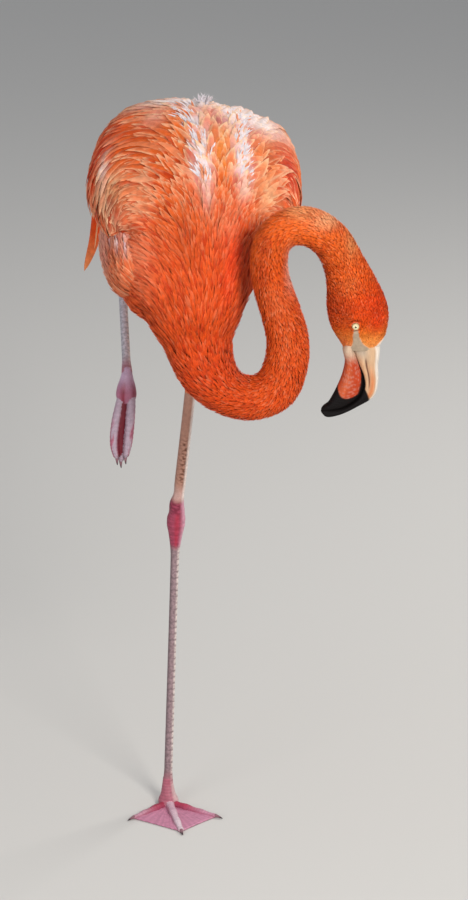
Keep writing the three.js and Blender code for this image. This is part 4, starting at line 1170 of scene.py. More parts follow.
def web_sheet(first, second):
    """The web between two toes: a thin sheet, closed all round, with a nearly straight front edge."""
    a, b = toe_way(first[1]) * first[2] * 0.985, toe_way(second[1]) * second[2] * 0.985
    hollow = (a + b) * 0.485
    across = np.linspace(0, 1, 30)
    edge = a * ((1 - across) ** 2)[:, None] + hollow * (2 * across * (1 - across))[:, None] \
        + b * (across ** 2)[:, None]
    reach = np.linspace(0.03, 1, 26)
    flat = FOOT_MIDDLE + reach[None, :, None] * edge[:, None, :]
    sag = np.sin(np.pi * across)[:, None] * smooth_step(0.1, 0.5, reach)[None]
    crease = 0.14 * np.sin(reach * 46)[None] * np.sin(np.pi * across)[:, None]
    crease = crease * (1 - smooth_step(0.75, 1, reach))
    upper, lower = flat.copy(), flat.copy()
    upper[..., 2] = 1.75 - 0.35 * sag + crease
    lower[..., 2] = 0.35
    loop = np.concatenate([upper, lower[:, ::-1]], axis=1)
    tint = toward(WEB_TINT, "#a84660", 0.5 * (1 - smooth_step(0.0, 0.35, reach))[None])
    ribs = 1 + 0.1 * np.sin(across * 55 + 2 * np.sin(across * 9))
    tint = np.broadcast_to(tint, (30, 26, 3)) * ribs[:, None, None]
    return loop, np.concatenate([tint, tint[:, ::-1]], axis=1)


PAD_LEVELS = [(0, 10, 10.5), (2.5, 11.6, 12), (7, 11.4, 11.6), (13, 8.6, 8.8), (24, 6.3, 6.4), (31, 5.4, 5.4)]


def foot_pad():
    """The ankle's knuckle above the toes, from the floor up."""
    height = np.linspace(0, PAD_LEVELS[-1][0], 40)
    angle = full_circle(32)
    share = np.clip(height / ANKLE[2], 0, 1)
    centre = FOOT_MIDDLE + (ANKLE - FOOT_MIDDLE) * share[:, None]
    centre[:, 2] = height
    edge = np.abs(np.sin(np.pi * height / 3.2))
    ring = 0.3 * (edge - 0.4) * smooth_step(4, 9, height)
    wide, long = (profile(PAD_LEVELS, height, column) - 0.15 + ring for column in (1, 2))
    grid = rings(centre, X_AXIS, Y_AXIS, angle, wide[:, None], long[:, None])
    # Darker at the seams between its rings: painted shade in the seams.
    tint = linear("#a85c6c") * (0.8 + 0.25 * edge)[:, None, None]
    return grid, toward(tint, HIGHLIGHT, 0.45 * smooth_step(0.35, 0.9, np.cos(angle))[None])


RAISED_PAD = [(-41.6, -13, 527.5, 3.2, 3.2), (-41.8, -13.5, 521.5, 5.6, 5.6), (-42.1, -14, 513.5, 7.6, 7.6),
              (-42.5, -14.5, 505, 10.2, 9.8), (-42.9, -14.5, 495, 11.4, 10.2), (-43.3, -14.5, 485, 8.5, 7)]
HANGING_TOES = {
    "inner": [(-39.5, -17, 500, 5, 5), (-37.8, -18, 493, 5, 5), (-38.8, -22, 467.2, 5.2, 5.4),
              (-41.3, -23.5, 441.4, 4.6, 5), (-44.3, -21, 424.5, 3.2, 3.4)],
    "outer": [(-46, -16, 500, 5, 5), (-48.2, -17, 492, 5, 5), (-54.2, -21, 464.2, 5.4, 5.4),
              (-56.2, -23, 440.4, 4.8, 5), (-53.7, -21, 423.5, 3.2, 3.4)],
    "middle": [(-41.8, -12, 500, 5, 5), (-41.6, -15, 493, 5, 5), (-44.4, -17, 461.2, 5.4, 5.4),
               (-47.6, -17, 433.4, 4.8, 5), (-49.7, -14, 417.5, 3.2, 3.4)],
}
HANGING_WEB = [(-44.4, -20, 494, 3.6, 3), (-48, -20.5, 461.2, 4.2, 3.6), (-49.8, -20, 433.4, 4, 2.8),
               (-49.5, -17.5, 424, 3, 1.6)]


def across_share(grid):
    """-1 at the bird's right edge of a sleeve, 1 at its left, and the same from its back to its front."""
    offset = grid - grid.mean(axis=1, keepdims=True)
    reach = np.maximum(np.linalg.norm(offset, axis=-1), 0.01)
    return offset[..., 0] / reach, -offset[..., 1] / reach


def raised_pad_tint(grid):
    """Lilac above, with the fold down its front painted dark crimson, a painted shade in the fold, and a red
    patch at the bird's left.
    """
    side, front = across_share(grid)
    down = smooth_step(0.3, 0.75, np.linspace(0, 1, len(grid)))[:, None]
    tint = toward(linear("#c0a0b8"), "#ac6c84", down)
    fold = np.exp(-((side + 0.35) / 0.26) ** 2) * (front > 0) * down
    patch = np.exp(-((side - 0.85) / 0.3) ** 2) * down * 0.8
    return toward(tint, "#821a30", np.clip(fold + patch, 0, 0.95))


def hanging_toe(route, scute, inner_side):
    """A folded toe. inner_side is 1 or -1 where the middle toe lies to its left or right, 0 for that toe."""
    rows, columns = 70, 24
    grid = close_ends(route_sleeve(route, rows, columns, 0.1), 4, 5)
    travel = np.linspace(0, 76, rows)
    edge = np.abs(np.sin(np.pi * travel / scute))
    middle = grid.mean(axis=1, keepdims=True)
    grid = middle + (grid - middle) * (1 + 0.09 * (edge - 0.5))[:, None, None]
    angle = full_circle(columns)
    # Darker at the seams between scutes: painted shade in the seams.
    tint = linear("#b09aa8") * (0.92 + 0.1 * edge)[:, None, None] * np.ones((1, columns, 1))
    tint = toward(tint, "#b0687c", 0.8 * (1 - smooth_step(4, 22, travel))[:, None])
    # The side towards the middle toe is painted dark crimson, most of all on the outer toe: painted shade in
    # the crease between the toes. The other border is pink.
    towards = across_share(grid)[0] * inner_side
    red = smooth_step(0.3, 0.8, towards) * smooth_step(4, 14, travel)[:, None]
    tint = toward(tint, "#7c1a2e", red * (0.95 if inner_side > 0 else 0.25))
    pink = smooth_step(0.3, 0.9, -towards + 0.25 * blotches(travel, angle + scute, 4.0))
    tint = toward(tint, "#ac4660", 0.8 * pink * smooth_step(20, 50, travel)[:, None])
    worn = smooth_step(0.0, 0.8, blotches(travel, angle, 1.1)) * smooth_step(62, 82, travel)[:, None]
    return grid, toward(tint, "#4a2820", 0.7 * worn)


def hind_toe(low, high):
    low, high = np.array(low, float), np.array(high, float)
    route = [tuple(low) + (3.2, 3.2), tuple(low + (high - low) * 0.6) + (2.8, 2.8), tuple(high) + (1.2, 1.2)]
    return close_ends(route_sleeve(route, 16, 12, 0.1), 0, 4)


skin = Skin()
skin.add(body_points, skin_colours, body_kind)
# The thighs' skin is darkened under their coats: painted shade between the feathers.
for thigh, shade in ((thigh_right, 0.7), (thigh_left, 0.62)):
    tint = thigh_tint(np.arange(len(thigh)), len(thigh) - 1)[:, None]
    skin.add(thigh, tint * np.ones((1, THIGH_COLUMNS, 1)) * shade, HIDE)
bare_leg(KNEE, HOCK, ANKLE - (0, 0, 4), 0.62, LEG_TINT, SHIN_TINT, 0.9)
bare_leg(RAISED_KNEE, RAISED_HOCK, RAISED_ANKLE + (0, 0, -2), 0.6, RAISED_LEG_TINT, RAISED_LEG_TINT, 0.2)
skin.add(*foot_pad(), WEB)
for toe in TOES:
    skin.add(*standing_toe(*toe), SCALES)
for first, second in zip(TOES, TOES[1:]):
    skin.add(*web_sheet(first, second), WEB)
raised_pad = close_ends(route_sleeve(RAISED_PAD, 30, 24, 0.1), 3, 3)
skin.add(raised_pad, raised_pad_tint(raised_pad), WEB)
for toe, scute, inner_side in zip(HANGING_TOES, (4.1, 3.7, 3.9), (-1, 1, 0)):
    skin.add(*hanging_toe(HANGING_TOES[toe], scute, inner_side), SCALES)
# The web folded between the hanging toes is painted dark crimson: painted shade deep in the fold.
hanging_web = close_ends(route_sleeve(HANGING_WEB, 30, 20, 0), 3, 3)
skin.add(hanging_web, np.broadcast_to(linear("#6c1424"), hanging_web.shape), WEB)
for low, high in (((-1, 7, 15), (-3, 17, 9)), ((-43.3, -7, 504.9), (-45.3, 1, 491))):
    toe = hind_toe(low, high)
    skin.add(toe, np.broadcast_to(TOE_TINT, toe.shape), SCALES)

bird_skin = join_as_one("skin", skin, SKIN_MATERIALS)
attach(bird_skin, "root")
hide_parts("trunk", *[f"neck_{k}" for k in range(1, 8)], "head", "thigh_right", "thigh_left",
            *[f"{part}_{side}" for part in ("shin", "hock", "tarsus", "foot")
              for side in ("left", "right")],
            *[f"toe_{toe}_{side}" for toe in ("inner", "middle", "outer", "hind")
              for side in ("left", "right")], "web_inner_left", "web_outer_left", "web_right")


# ---- Bill ----

CULMEN = [(24.6, 9), (26.2, 3.4), (24.6, -15.6), (24.8, -34), (20.5, -49), (3.3, -60.5), (-17, -70.2),
          (-30, -72.2), (-35.8, -66.6)]
TOMIUM = [(-1.6, 9), (-1.2, 3.4), (3.6, -11), (8.4, -25), (9.3, -37), (5.9, -48), (-8, -59.5), (-22, -63.8),
          (-35, -65.2)]
KEEL = [(-11, 9), (-13, 3.4), (-10.6, -10), (-13, -24), (-18.7, -39.2), (-24, -50), (-28, -56.5),
        (-33, -60.5), (-35.4, -63.9)]
BILL_HALF_WIDTH = [(0, 11.8), (0.125, 12.6), (0.34, 11), (0.56, 9.6), (0.755, 8), (0.91, 5.4), (1, 2.4)]
BILL_ROWS, BILL_COLUMNS = 150, 56
BILL_LAP = 0.8             # the halves reach this far into each other, so that no light shows between them
BILL_SQUARENESS = 2 / 2.4  # 1 gives an oval section, less a squarer one
BLACK = linear("#100c0c")


def mandible(name, outer, is_upper, node):
    """Half of the bill, between its outer edge and the line where both halves meet."""
    t = np.linspace(0, 1, BILL_ROWS)
    out, inner = (curve([(x, 0, z) for x, z in rows], t * (len(rows) - 1)) + GAPE for rows in (outer, TOMIUM))
    span = out - inner
    wide = np.linalg.norm(span, axis=1)
    span = span / wide[:, None]
    half = (wide + BILL_LAP) / 2
    centre = out - span * half[:, None]
    angle = full_circle(BILL_COLUMNS)
    c, s = (np.sign(wave) * np.abs(wave) ** BILL_SQUARENESS for wave in (np.cos(angle), np.sin(angle)))
    sideways = c[None] * profile(BILL_HALF_WIDTH, t)[:, None]
    rise = s[None] * half[:, None]
    level = (s[None] + 1) / 2 + 0 * sideways           # 0 at the gape line, 1 at the outer edge
    tt = t[:, None] + 0 * sideways
    if is_upper:
        # A groove runs from the nostril to the bend, with the nostril's slit in it.
        groove = np.exp(-((level - 0.42 - 0.1 * tt) / 0.07) ** 2) * smooth_step(0.1, 0.2, tt) \
            * (1 - smooth_step(0.48, 0.56, tt))
        slit = np.exp(-((level - 0.4 - 0.1 * tt) / 0.03) ** 2) * smooth_step(0.17, 0.24, tt) \
            * (1 - smooth_step(0.43, 0.5, tt))
        sideways = sideways * (1 - 0.13 * groove - 0.1 * slit)
        black_from = 0.52 + 0.045 * (level - 0.5)
        tint = toward(linear("#c4a07e"), "#c87c50",
                      np.exp(-((level - 0.63) / 0.16) ** 2) * smooth_step(0.18, 0.4, tt))
        tint = toward(tint, "#e2d8cc", 0.95 * smooth_step(0.78, 0.9, level))
        tint = toward(tint, "#cf9c74", 0.7 * (1 - smooth_step(0.2, 0.36, level)))
        # The nostril's slit is painted dark: painted shade in its opening.
        tint = toward(tint, "#4c1a16", np.clip(slit * 1.6, 0, 1))
        base = (1 - smooth_step(0.13, 0.25, tt)) * (1 - smooth_step(0.35, 0.7, level))
        tint = toward(tint, "#b09c88", base)
        line_edge, line_rise = 0.07, 0.15
    else:
        ridges = 0.012 * np.sin(tt * 150) * smooth_step(0.4, 0.6, level) * (1 - smooth_step(0.85, 1, level))
        sideways = sideways * (1 + ridges)
        black_from = 0.51 + 0.14 * (1 - (2 * level - 1) ** 2) - 0.03 * level
        tint = toward(linear("#ac3c1e"), "#c0603c", 0.7 * np.exp(-((level - 0.75) / 0.2) ** 2))
        # Fine grey-pink mottling along the ridges of the lower half.
        mottle = np.sin(tt * 70 + 3 * np.sin(level * 21)) * np.sin(level * 34 + 2 * np.sin(tt * 40))
        tint = toward(tint, "#b87868", 0.6 * smooth_step(0.0, 0.7, mottle))
        tint = toward(tint, "#c0a48c", 1 - smooth_step(0.13, 0.27, tt))
        line_edge, line_rise = 0.06, 0.13
    # The black runs back from the tip as a line along the edge of each half.
    line = 1 - smooth_step(0.02, line_edge, level - line_rise * smooth_step(0.15, 0.52, tt))
    line = line * smooth_step(0.08, 0.34, tt) * smooth_step(0.1, 0.16, tt)
    tint = toward(tint, BLACK, line)
    tint = toward(tint, BLACK, smooth_step(-0.009, 0.009, tt - black_from))
    grid = centre[:, None] + Y_AXIS * sideways[..., None] + span[:, None] * rise[..., None]
    solid_piece(name, close_ends(grid, 0, 5), tint, bill_horn, node)


mandible("upper_mandible", CULMEN, True, "bill_upper")
mandible("lower_mandible", KEEL, False, "bill_lower")


# ---- Eyes and claws ----

def eye_ball(name, side, node):
    """A ball with a low cornea. Its rings run from the pupil back."""
    columns = 40
    polar = np.linspace(0, math.pi, 44)[1:-1]
    angle = full_circle(columns)
    radius = EYE_RADIUS - 0.1 + 0.25 * np.exp(-(polar / 0.45) ** 2)
    x = np.sin(polar)[:, None] * np.cos(angle)[None] * radius[:, None]
    z = np.sin(polar)[:, None] * np.sin(angle)[None] * radius[:, None]
    y = side * np.cos(polar)[:, None] * radius[:, None] + 0 * x
    grid = np.stack([x, y, z], axis=2) + np.array((EYE_PLACE[0], HEAD_MIDPLANE + side * EYE_OUT,
                                                   EYE_PLACE[1]))
    off = np.sin(polar) * EYE_RADIUS
    front = polar < math.pi / 2
    iris = np.broadcast_to(linear("#d2c49a"), (len(polar), columns, 3))
    tint = toward(iris, "#b09058", smooth_step(2.6, 3.9, off)[:, None])
    tint[(off < 1.15) & front] = linear("#0c0a0a")
    tint[(off > 4.15) | ~front] = linear("#4a2418")
    solid_piece(name, grid, tint, eye_wet, node, (0, side * 0.01, 0))


for sign, side in ((-1, "right"), (1, "left")):
    eye_ball(f"eyeball_{side}", sign, f"eye_{side}")
CLAW_LENGTH = 8.5
CLAW_ROOT = 0.18           # share of the length that is inside the toe


def claw(name, root, way, droop, node):
    """A blunt curved claw, flat below, that starts inside the tip of its toe."""
    root, way, droop = (np.array(part, float) for part in (root, way, droop))
    share = np.linspace(0, 1, 22)
    travel = CLAW_LENGTH * (share * (1 + CLAW_ROOT) - CLAW_ROOT)
    centre = root + way * travel[:, None] + droop * (CLAW_LENGTH * 0.28 * share ** 2)[:, None]
    across, up = across_and_up(way, np.array((0.3, 1, 0.2)))
    radius = 2.1 * (1 - share * 0.8)
    grid = rings(centre, across, up, full_circle(18), radius[:, None], radius[:, None])
    grid = close_ends(grid, 0, 4)
    grid[..., 2] = np.maximum(grid[..., 2], 0.02)
    tint = toward(linear("#8a646c"), "#3c2e32", smooth_step(0.3, 0.9, share)[:, None])
    solid_piece(name, grid, np.broadcast_to(tint, grid.shape), claw_horn, node)


for toe, turn, length, _ in TOES:
    way = toe_way(turn)
    claw(f"horn_claw_{toe}_left", FOOT_MIDDLE + way * length + (0, 0, 2.2), way, (0, 0, -0.6),
         f"claw_{toe}_left")
for toe, route in HANGING_TOES.items():
    claw(f"horn_claw_{toe}_right", route[-1][:3], (0, 0, -1), (0.2, 0.8, 0), f"claw_{toe}_right")


# ---- The coat ----

COVERT = [(0, 0.3), (0.2, 0.72), (0.42, 0.98), (0.62, 1.0), (0.8, 0.78), (0.92, 0.42)]
LANCE = [(0, 0.35), (0.25, 0.85), (0.5, 1.0), (0.75, 0.72), (0.92, 0.34)]
SMALL = [(0, 0.5), (0.45, 1.0), (0.8, 0.62)]
DOWN = [(0, 0.6), (0.4, 1.0), (0.75, 0.6)]
LEAF = [(0, 0.3), (0.16, 0.7), (0.34, 0.97), (0.52, 1.0), (0.68, 0.82), (0.82, 0.56), (0.93, 0.28)]
PLUME = [(0, 0.3), (0.08, 0.6), (0.18, 0.85), (0.3, 0.97), (0.42, 1.0), (0.54, 0.98), (0.66, 0.92),
         (0.77, 0.8), (0.86, 0.64), (0.93, 0.44), (0.98, 0.2)]

SPACING = [(0.3, 5.6), (2, 5.4), (4, 4.9), (5.2, 4.2), (6.4, 2.8), (8, 2.05), (10, 1.75), (14, 1.55),
           (20, 1.5), (23, 1.35), (25, 1.15), (27, 1.0)]
LENGTH = [(0.3, 42), (2, 46), (4, 46), (5.2, 38), (6.4, 30), (8, 18), (10, 8.4), (14, 6.4), (20, 5.8),
          (23, 5.0), (25, 4.0), (27, 2.8)]
HALF = [(0.3, 6.2), (2, 6.2), (4, 5.4), (5.2, 4.1), (6.4, 2.4), (8, 1.5), (10, 1.2), (14, 0.95), (20, 0.9),
        (23, 0.85), (25, 0.75), (27, 0.6)]
VARIETY = [(0.3, 0.8), (5, 0.9), (6.2, 0.95), (8, 0.8), (10, 0.7), (14, 0.66), (22, 0.6), (24, 0.5),
           (27, 0.25)]
FLECK = [(0.3, 0.8), (5, 0.9), (5.8, 0.55), (6.4, 0.3), (8, 0.22), (14, 0.22), (22, 0.22), (27, 0.15)]


class Shell:
    """A sleeve's surface, to tell which places lie under it. outside is a place well away from it."""

    def __init__(self, grid, outside):
        faces = [face for face in sleeve_faces(*grid.shape[:2]) if len(face) == 4]
        self.tree = BVHTree.FromPolygons([tuple(p) for p in grid.reshape(-1, 3)], faces)
        at, normal, _, _ = self.tree.find_nearest(Vector(outside))
        self.sign = 1 if (Vector(outside) - at).dot(normal) > 0 else -1

    def holds(self, places, margin):
        """True where a place lies deeper than margin."""
        hidden = np.zeros(len(places), bool)
        for index, place in enumerate(places):
            at, normal, _, _ = self.tree.find_nearest(Vector(place), 60)
            if at is not None:
                hidden[index] = (Vector(place) - at).dot(normal) * self.sign < -margin
        return hidden


body_shell = Shell(body_points, (30, -39, 1200))
right_thigh_shell = Shell(thigh_right, (-300, -57, 662))

spacing_grid = profile(SPACING, GRID_S)
spacing_grid[bare > 0.3] = 0
rows_all, columns_all = body_sleeve.scatter(spacing_grid, 170000)
places_all = body_sleeve.read(body_sleeve.points, rows_all, columns_all)
s_all, turn_all = body_place(rows_all, columns_all)
# No feathers root under the raised thigh.
covered = np.zeros(len(rows_all), bool)
near_thigh = s_all < NECK_BASE
covered[near_thigh] = right_thigh_shell.holds(places_all[near_thigh], 3)
rows_all, columns_all, s_all, turn_all = (part[~covered] for part in (rows_all, columns_all, s_all, turn_all))

# Where the pieces of the coat part: points of the spine, and degrees from the middle of the back.
BREAST_FROM, NECK_BASE_FROM, NECK_RISE_FROM, NECK_ARCH_FROM, HEAD_FROM = 6.1, 8, 11, 16, 22.6
MANTLE_HALF = 22


def along(low, high):
    return (s_all >= low) & (s_all < high)


behind = s_all < BREAST_FROM
on_back = behind & (np.abs(turn_all) < profile(WING_LOW, s_all) + 8)
REGIONS = [
    ("coat_head", s_all >= HEAD_FROM, SMALL, "plumage"),
    ("coat_neck_arch", along(NECK_ARCH_FROM, HEAD_FROM), SMALL, "plumage"),
    ("coat_neck_rise", along(NECK_RISE_FROM, NECK_ARCH_FROM), SMALL, "plumage"),
    ("coat_neck_base", along(NECK_BASE_FROM, NECK_RISE_FROM), SMALL, "plumage"),
    ("coat_breast", along(BREAST_FROM, NECK_BASE_FROM), LANCE, "plumage"),
    ("coat_belly", behind & ~on_back, LANCE, "plumage"),
    ("coat_mantle", on_back & (np.abs(turn_all) < MANTLE_HALF), COVERT, "wing_feathers"),
    ("coverts_right", on_back & (turn_all >= MANTLE_HALF), COVERT, "wing_feathers"),
    ("coverts_left", on_back & (turn_all <= -MANTLE_HALF), COVERT, "wing_feathers"),
]
STANDS_FOR = {"coverts_right": ("wing_right",), "coverts_left": ("wing_left",)}

for name, chosen, shape, slot_name in REGIONS:
    coat = Coat(name)
    r, c, s, turn = rows_all[chosen], columns_all[chosen], s_all[chosen], turn_all[chosen]
    size = np.clip(1 + rng.normal(0, 0.12, len(r)), 0.7, 1.35)
    # Shorter over the wing's lower edge, so they don't hang past it.
    near_edge = smooth_step(-16, -4, np.abs(turn) - profile(WING_LOW, s)) * (s < 6)
    grow(coat, body_sleeve, (r, c), profile(LENGTH, s) * size * (1 - 0.4 * near_edge),
         profile(HALF, s) * size, shape, body_coat(s, turn), body_tint_at,
         pale_edge(s) * rng.uniform(0.2, 1.3, len(r)), body_unwrap,
         variety=profile(VARIETY, s)[:, None, None], fleck=profile(FLECK, s)[:, None, None])
    coat.build(contour_feather, slot_name, *STANDS_FOR.get(name, ()))


# ---- Long plumes over the wings, down along the partings and a tuft on the back ----

def rooted(spacing, where_true, count):
    """Roots on the body at a spacing in millimetres, only where where_true(point of the spine, degrees)."""
    grid = np.where(where_true(GRID_S, GRID_TURN), float(spacing), 0.0)
    rows, columns = body_sleeve.scatter(grid, count)
    return (rows, columns), *body_place(rows, columns)


for wing, side in ((1, "right"), (-1, "left")):
    def on_shoulder_tract(s, degrees):
        ahead = past_parting(s, degrees, wing)
        return (s > 2.3) & (s < 5.15) & (ahead > 9) & (ahead < 32)

    def on_upper_wing(s, degrees):
        ahead = past_parting(s, degrees, wing)
        above_edge = np.abs(degrees) < profile(WING_LOW, s) - 6
        return (s > 3.6) & (s < 5.7) & (ahead > 3) & (ahead < 74) & above_edge

    def along_parting(s, degrees):
        ahead = past_parting(s, degrees, wing)
        return (s > 3.7) & (s < 5.75) & (np.abs(ahead + 0.5) < profile(PARTING_HALF[wing], s))

    plumes = Coat(f"wing_plumes_{side}")
    roots, s, turn = rooted(6.4, on_upper_wing, 3000)
    size = np.clip(1 + rng.normal(0, 0.14, len(s)), 0.7, 1.35)
    reach = np.minimum(64 - 7 * (s - 3.6), 17 + 1.8 * np.maximum(profile(WING_LOW, s) - np.abs(turn), 0))
    grow(plumes, body_sleeve, roots, reach * size, 5.4 * size, LEAF, np.full(len(s), 7.6), body_tint_at,
         rng.uniform(0.1, 0.85, len(s)), body_unwrap, variety=1.0, fleck=0.7, sway=0.14, columns=5,
         roll=0.16)
    roots, s, turn = rooted(7.4, on_shoulder_tract, 2500)
    size = np.clip(1 + rng.normal(0, 0.1, len(s)), 0.75, 1.3)
    grow(plumes, body_sleeve, roots, (172 - 24 * (s - 2.3)) * size, 5.4 * size, PLUME, np.full(len(s), 8.2),
         body_tint_at, rng.uniform(0.0, 0.5, len(s)), body_unwrap, variety=1.0, fleck=0.45, sway=0.07,
         columns=5, rise=0.4, roll=0.1)
    plumes.build(long_feather, "wing_feathers")

    # White lances lie along each parting, with coloured ones among them.
    down = Coat(f"parting_down_{side}")
    roots, s, turn = rooted(2.6, along_parting, 3000)
    white = rng.random(len(s)) < 0.8
    for chosen, tint in ((white, DOWN_TINT), (~white, PARTING_TINT)):
        rows, columns = roots[0][chosen], roots[1][chosen]
        grow(down, body_sleeve, (rows, columns), rng.uniform(16, 30, len(rows)),
             rng.uniform(1.1, 1.9, len(rows)), LANCE, rng.uniform(5.6, 7.2, len(rows)),
             lambda r, c: np.broadcast_to(tint, (len(r), 3)), np.full(len(rows), 0.15), body_unwrap,
             variety=0.25, sway=0.14)
    down.build(contour_feather, "plumage")

# Broad lances cover the mantle between the partings, and a few lap over the right one.
MANTLE_LANCES = [(4.95, 2), (4.72, 3), (5.2, 0), (4.85, 6), (4.5, 5)]
lances = Coat("mantle_lances")
roots, s, turn = rooted(8.5, lambda s, degrees: (s > 4.05) & (s < 5.7) & (past_parting(s, degrees, 1) < -3)
                        & (past_parting(s, degrees, -1) < -3), 900)
roots = [np.concatenate([part, extra]) for part, extra in zip(roots, body_cell(MANTLE_LANCES))]
size = np.clip(1 + rng.normal(0, 0.14, len(roots[0])), 0.75, 1.3)
grow(lances, body_sleeve, roots, 46 * size, 6.2 * size, LEAF, np.full(len(size), 7.2), body_tint_at,
     rng.uniform(0.5, 1.2, len(size)), body_unwrap, variety=0.7, fleck=0.8, sway=0.14, columns=5, roll=0.16)
lances.build(contour_feather, "plumage")

tuft = Coat("back_tuft")
roots, s, turn = rooted(1.5, lambda s, degrees: np.hypot((s - 3.42) * 9, (degrees - 3) / 1.6) < 1.8, 400)
grow(tuft, body_sleeve, roots, rng.uniform(9, 17, len(s)), np.full(len(s), 0.7), DOWN,
     rng.uniform(8, 13, len(s)), lambda r, c: np.broadcast_to(DOWN_TINT, (len(r), 3)), np.full(len(s), 0.1),
     body_unwrap, variety=0.2, sway=0.6)
tuft.build(contour_feather, "plumage")


# ---- Thigh feathers ----

def thigh_coat(name, grid, length, half, depth, wish, corner, bounds, tint_at):
    """Lances over a thigh. wish gives the way they lie, corner their place on the unwrap, bounds the rows."""
    tube = Tube(grid)
    tube.set_flow(wish(tube))
    rows, columns = tube.scatter(np.full(grid.shape[:2], 2.7), 12000)
    ok = (rows > bounds[0]) & (rows < bounds[1])
    rows, columns = rows[ok], columns[ok]
    hidden = body_shell.holds(tube.read(tube.points, rows, columns), 2)
    rows, columns = rows[~hidden], columns[~hidden]
    total = grid.shape[0] - 1
    size = np.clip(1 + rng.normal(0, 0.12, len(rows)), 0.7, 1.3)
    coat = Coat(name)
    grow(coat, tube, (rows, columns), length(rows / total) * size, half(rows / total) * size, LANCE,
         np.full(len(rows), depth), tint_at(tube, total), rng.uniform(0.05, 0.45, len(rows)),
         lambda r, c: np.stack([corner + 0.3 * r / total, 0.74 + 0.24 * (c % tube.columns) / tube.columns],
                               axis=1),
         variety=0.7)
    coat.build(contour_feather, "plumage")


def along_flank(tube):
    """Up and back over the folded leg, fanning from the knee."""
    return unit(tube.points - np.array((-4, -190, 622))) * 0.6 + np.array((-0.25, 0.35, 0.55))


def down_the_shin(tube):
    return -tube.row_way


def flank_tint(tube, total):
    """Salmon, with lilac-white streaks along the upper edge."""
    def tint_at(rows, columns):
        tint = thigh_tint(rows, total)
        at = tube.read(tube.points, rows, columns)
        high = smooth_step(686, 704, at[..., 2]) * smooth_step(8, -22, at[..., 0])
        streak = smooth_step(0.1, 0.8, np.sin(at[..., 0] * 0.75 + at[..., 2] * 0.16))
        rim = smooth_step(-50, -62, at[..., 0]) * 0.25
        return toward(tint, "#e2ccd4", np.maximum(high * (0.2 + 0.7 * streak), rim))
    return tint_at


def plain_tint(_, total):
    return lambda rows, columns: thigh_tint(rows, total)


thigh_coat("coat_thigh_right", thigh_right, lambda t: 22 - 4 * t, lambda t: 2.5 - 0.3 * t, RAISED_COAT,
           along_flank, 0.02, (0, 55), flank_tint)
thigh_coat("coat_thigh_left", thigh_left, lambda t: 11 + 10 * t, lambda t: 1.6 + 1.2 * t, STANDING_COAT,
           down_the_shin, 0.6, (2, 59), plain_tint)


# ---- Long feathers along their own routes ----

def route_vane(coat, points, half, hint, tints, pale, patch):
    """One long vane along points, root first, with its upper face toward hint."""
    shares = np.linspace(0, 1, 26)
    line = curve(points, shares * (len(points) - 1))[None]
    up = np.broadcast_to(unit(np.asarray(hint, float)), line.shape)
    side, up = frames_of(line, up)
    table = np.array(PLUME + [(1, 0)])
    widths = half * np.interp(shares[:-1], table[:, 0], table[:, 1])[None]
    colour = tint_between(list(zip(np.linspace(0, 1, len(tints)), tints)), shares)[None]
    coat.add(line, side, up, widths, np.array([0.28]), shares, colour, np.array([pale]), np.array([patch]), 5)


def fan(name, routes, half, hint, tints, pale, material, slot_name, node):
    """Long vanes that lap over each other."""
    coat = Coat(name)
    for index, points in enumerate(routes):
        shade = np.clip(1 + rng.normal(0, 0.06), 0.8, 1.15)
        route_vane(coat, points, half * rng.uniform(0.9, 1.1), hint, tints, pale * shade,
                   (0.35 + 0.02 * index, 0.9))
    coat.build(material, slot_name, node)


def shifted(route, offset, reach=1.0):
    """A route stretched by reach from its root, with its tip moved by offset."""
    points = np.array(route, float)
    shares = np.linspace(0, 1, len(points))[:, None]
    return points[0] + (points - points[0]) * reach + np.asarray(offset, float) * shares


TERTIALS_RIGHT = [(-51, 82, 730), (-68, 132, 714), (-80, 175, 670), (-90, 189, 618), (-95, 186, 580)]
TERTIALS_LEFT = [(119, 82, 706), (133, 132, 692), (131, 178, 670), (118, 212, 650), (103, 236, 636)]
TERTIAL_TINTS = ["#e9774a", "#e4601f", "#ea6a24", "#f0a060"]
fan("tertial_plumes_right",
    [shifted(TERTIALS_RIGHT, (k * 3.0 + 4, k * 5.0 - 4, k * 4.5), 0.8 - 0.06 * k) for k in range(5)],
    7.5, (-1, 0.1, 0.3), TERTIAL_TINTS, 0.7, long_feather, "wing_feathers", "tertials_right")
fan("tertial_plumes_left",
    [shifted(TERTIALS_LEFT, (-k * 3.0, k * 4.0 - 6, k * 4.0), 1 - 0.07 * k) for k in range(5)],
    7.5, (1, 0.1, 0.3), TERTIAL_TINTS, 0.7, long_feather, "wing_feathers", "tertials_left")
TAIL = [(43.2, 105, 757), (46.2, 148, 744), (49.2, 195, 722), (51.1, 236, 699)]
fan("tail_feathers",
    [shifted(TAIL, (k * 5.5, -abs(k) * 3.5, -abs(k) * 1.5 + 1.5)) for k in (-4, 4, -3, 3, -2, 2, -1, 1, 0)],
    7.5, (0, 0.35, 1), ["#f3c4b4", "#f2b09a", "#ee8a66"], 0.6, long_feather, "wing_feathers", "tail")
DROOPING = [(-70, 150, 700), (-77, 172, 672), (-79.5, 182, 640), (-84, 186, 612), (-95, 188, 576)]
drooping = Coat("drooping_tertial")
route_vane(drooping, DROOPING, 7.6, (-0.35, -1, 0.15), ["#c8300a", "#d0380a", "#dc4810", "#ee8a50"], 0.06,
           (0.3, 0.96))
drooping.build(long_feather, "wing_feathers")
PRIMARIES = [(-15.5, 113, 705), (-19.5, 163, 693), (-9.5, 208, 678), (8.5, 245, 663)]


def mirrored(route):
    """The same route on the other side of the rolled trunk."""
    points = np.array(route, float)
    offset = (points - SPINE[2]) @ TRUNK_HINT
    return points - 2 * offset[:, None] * TRUNK_HINT


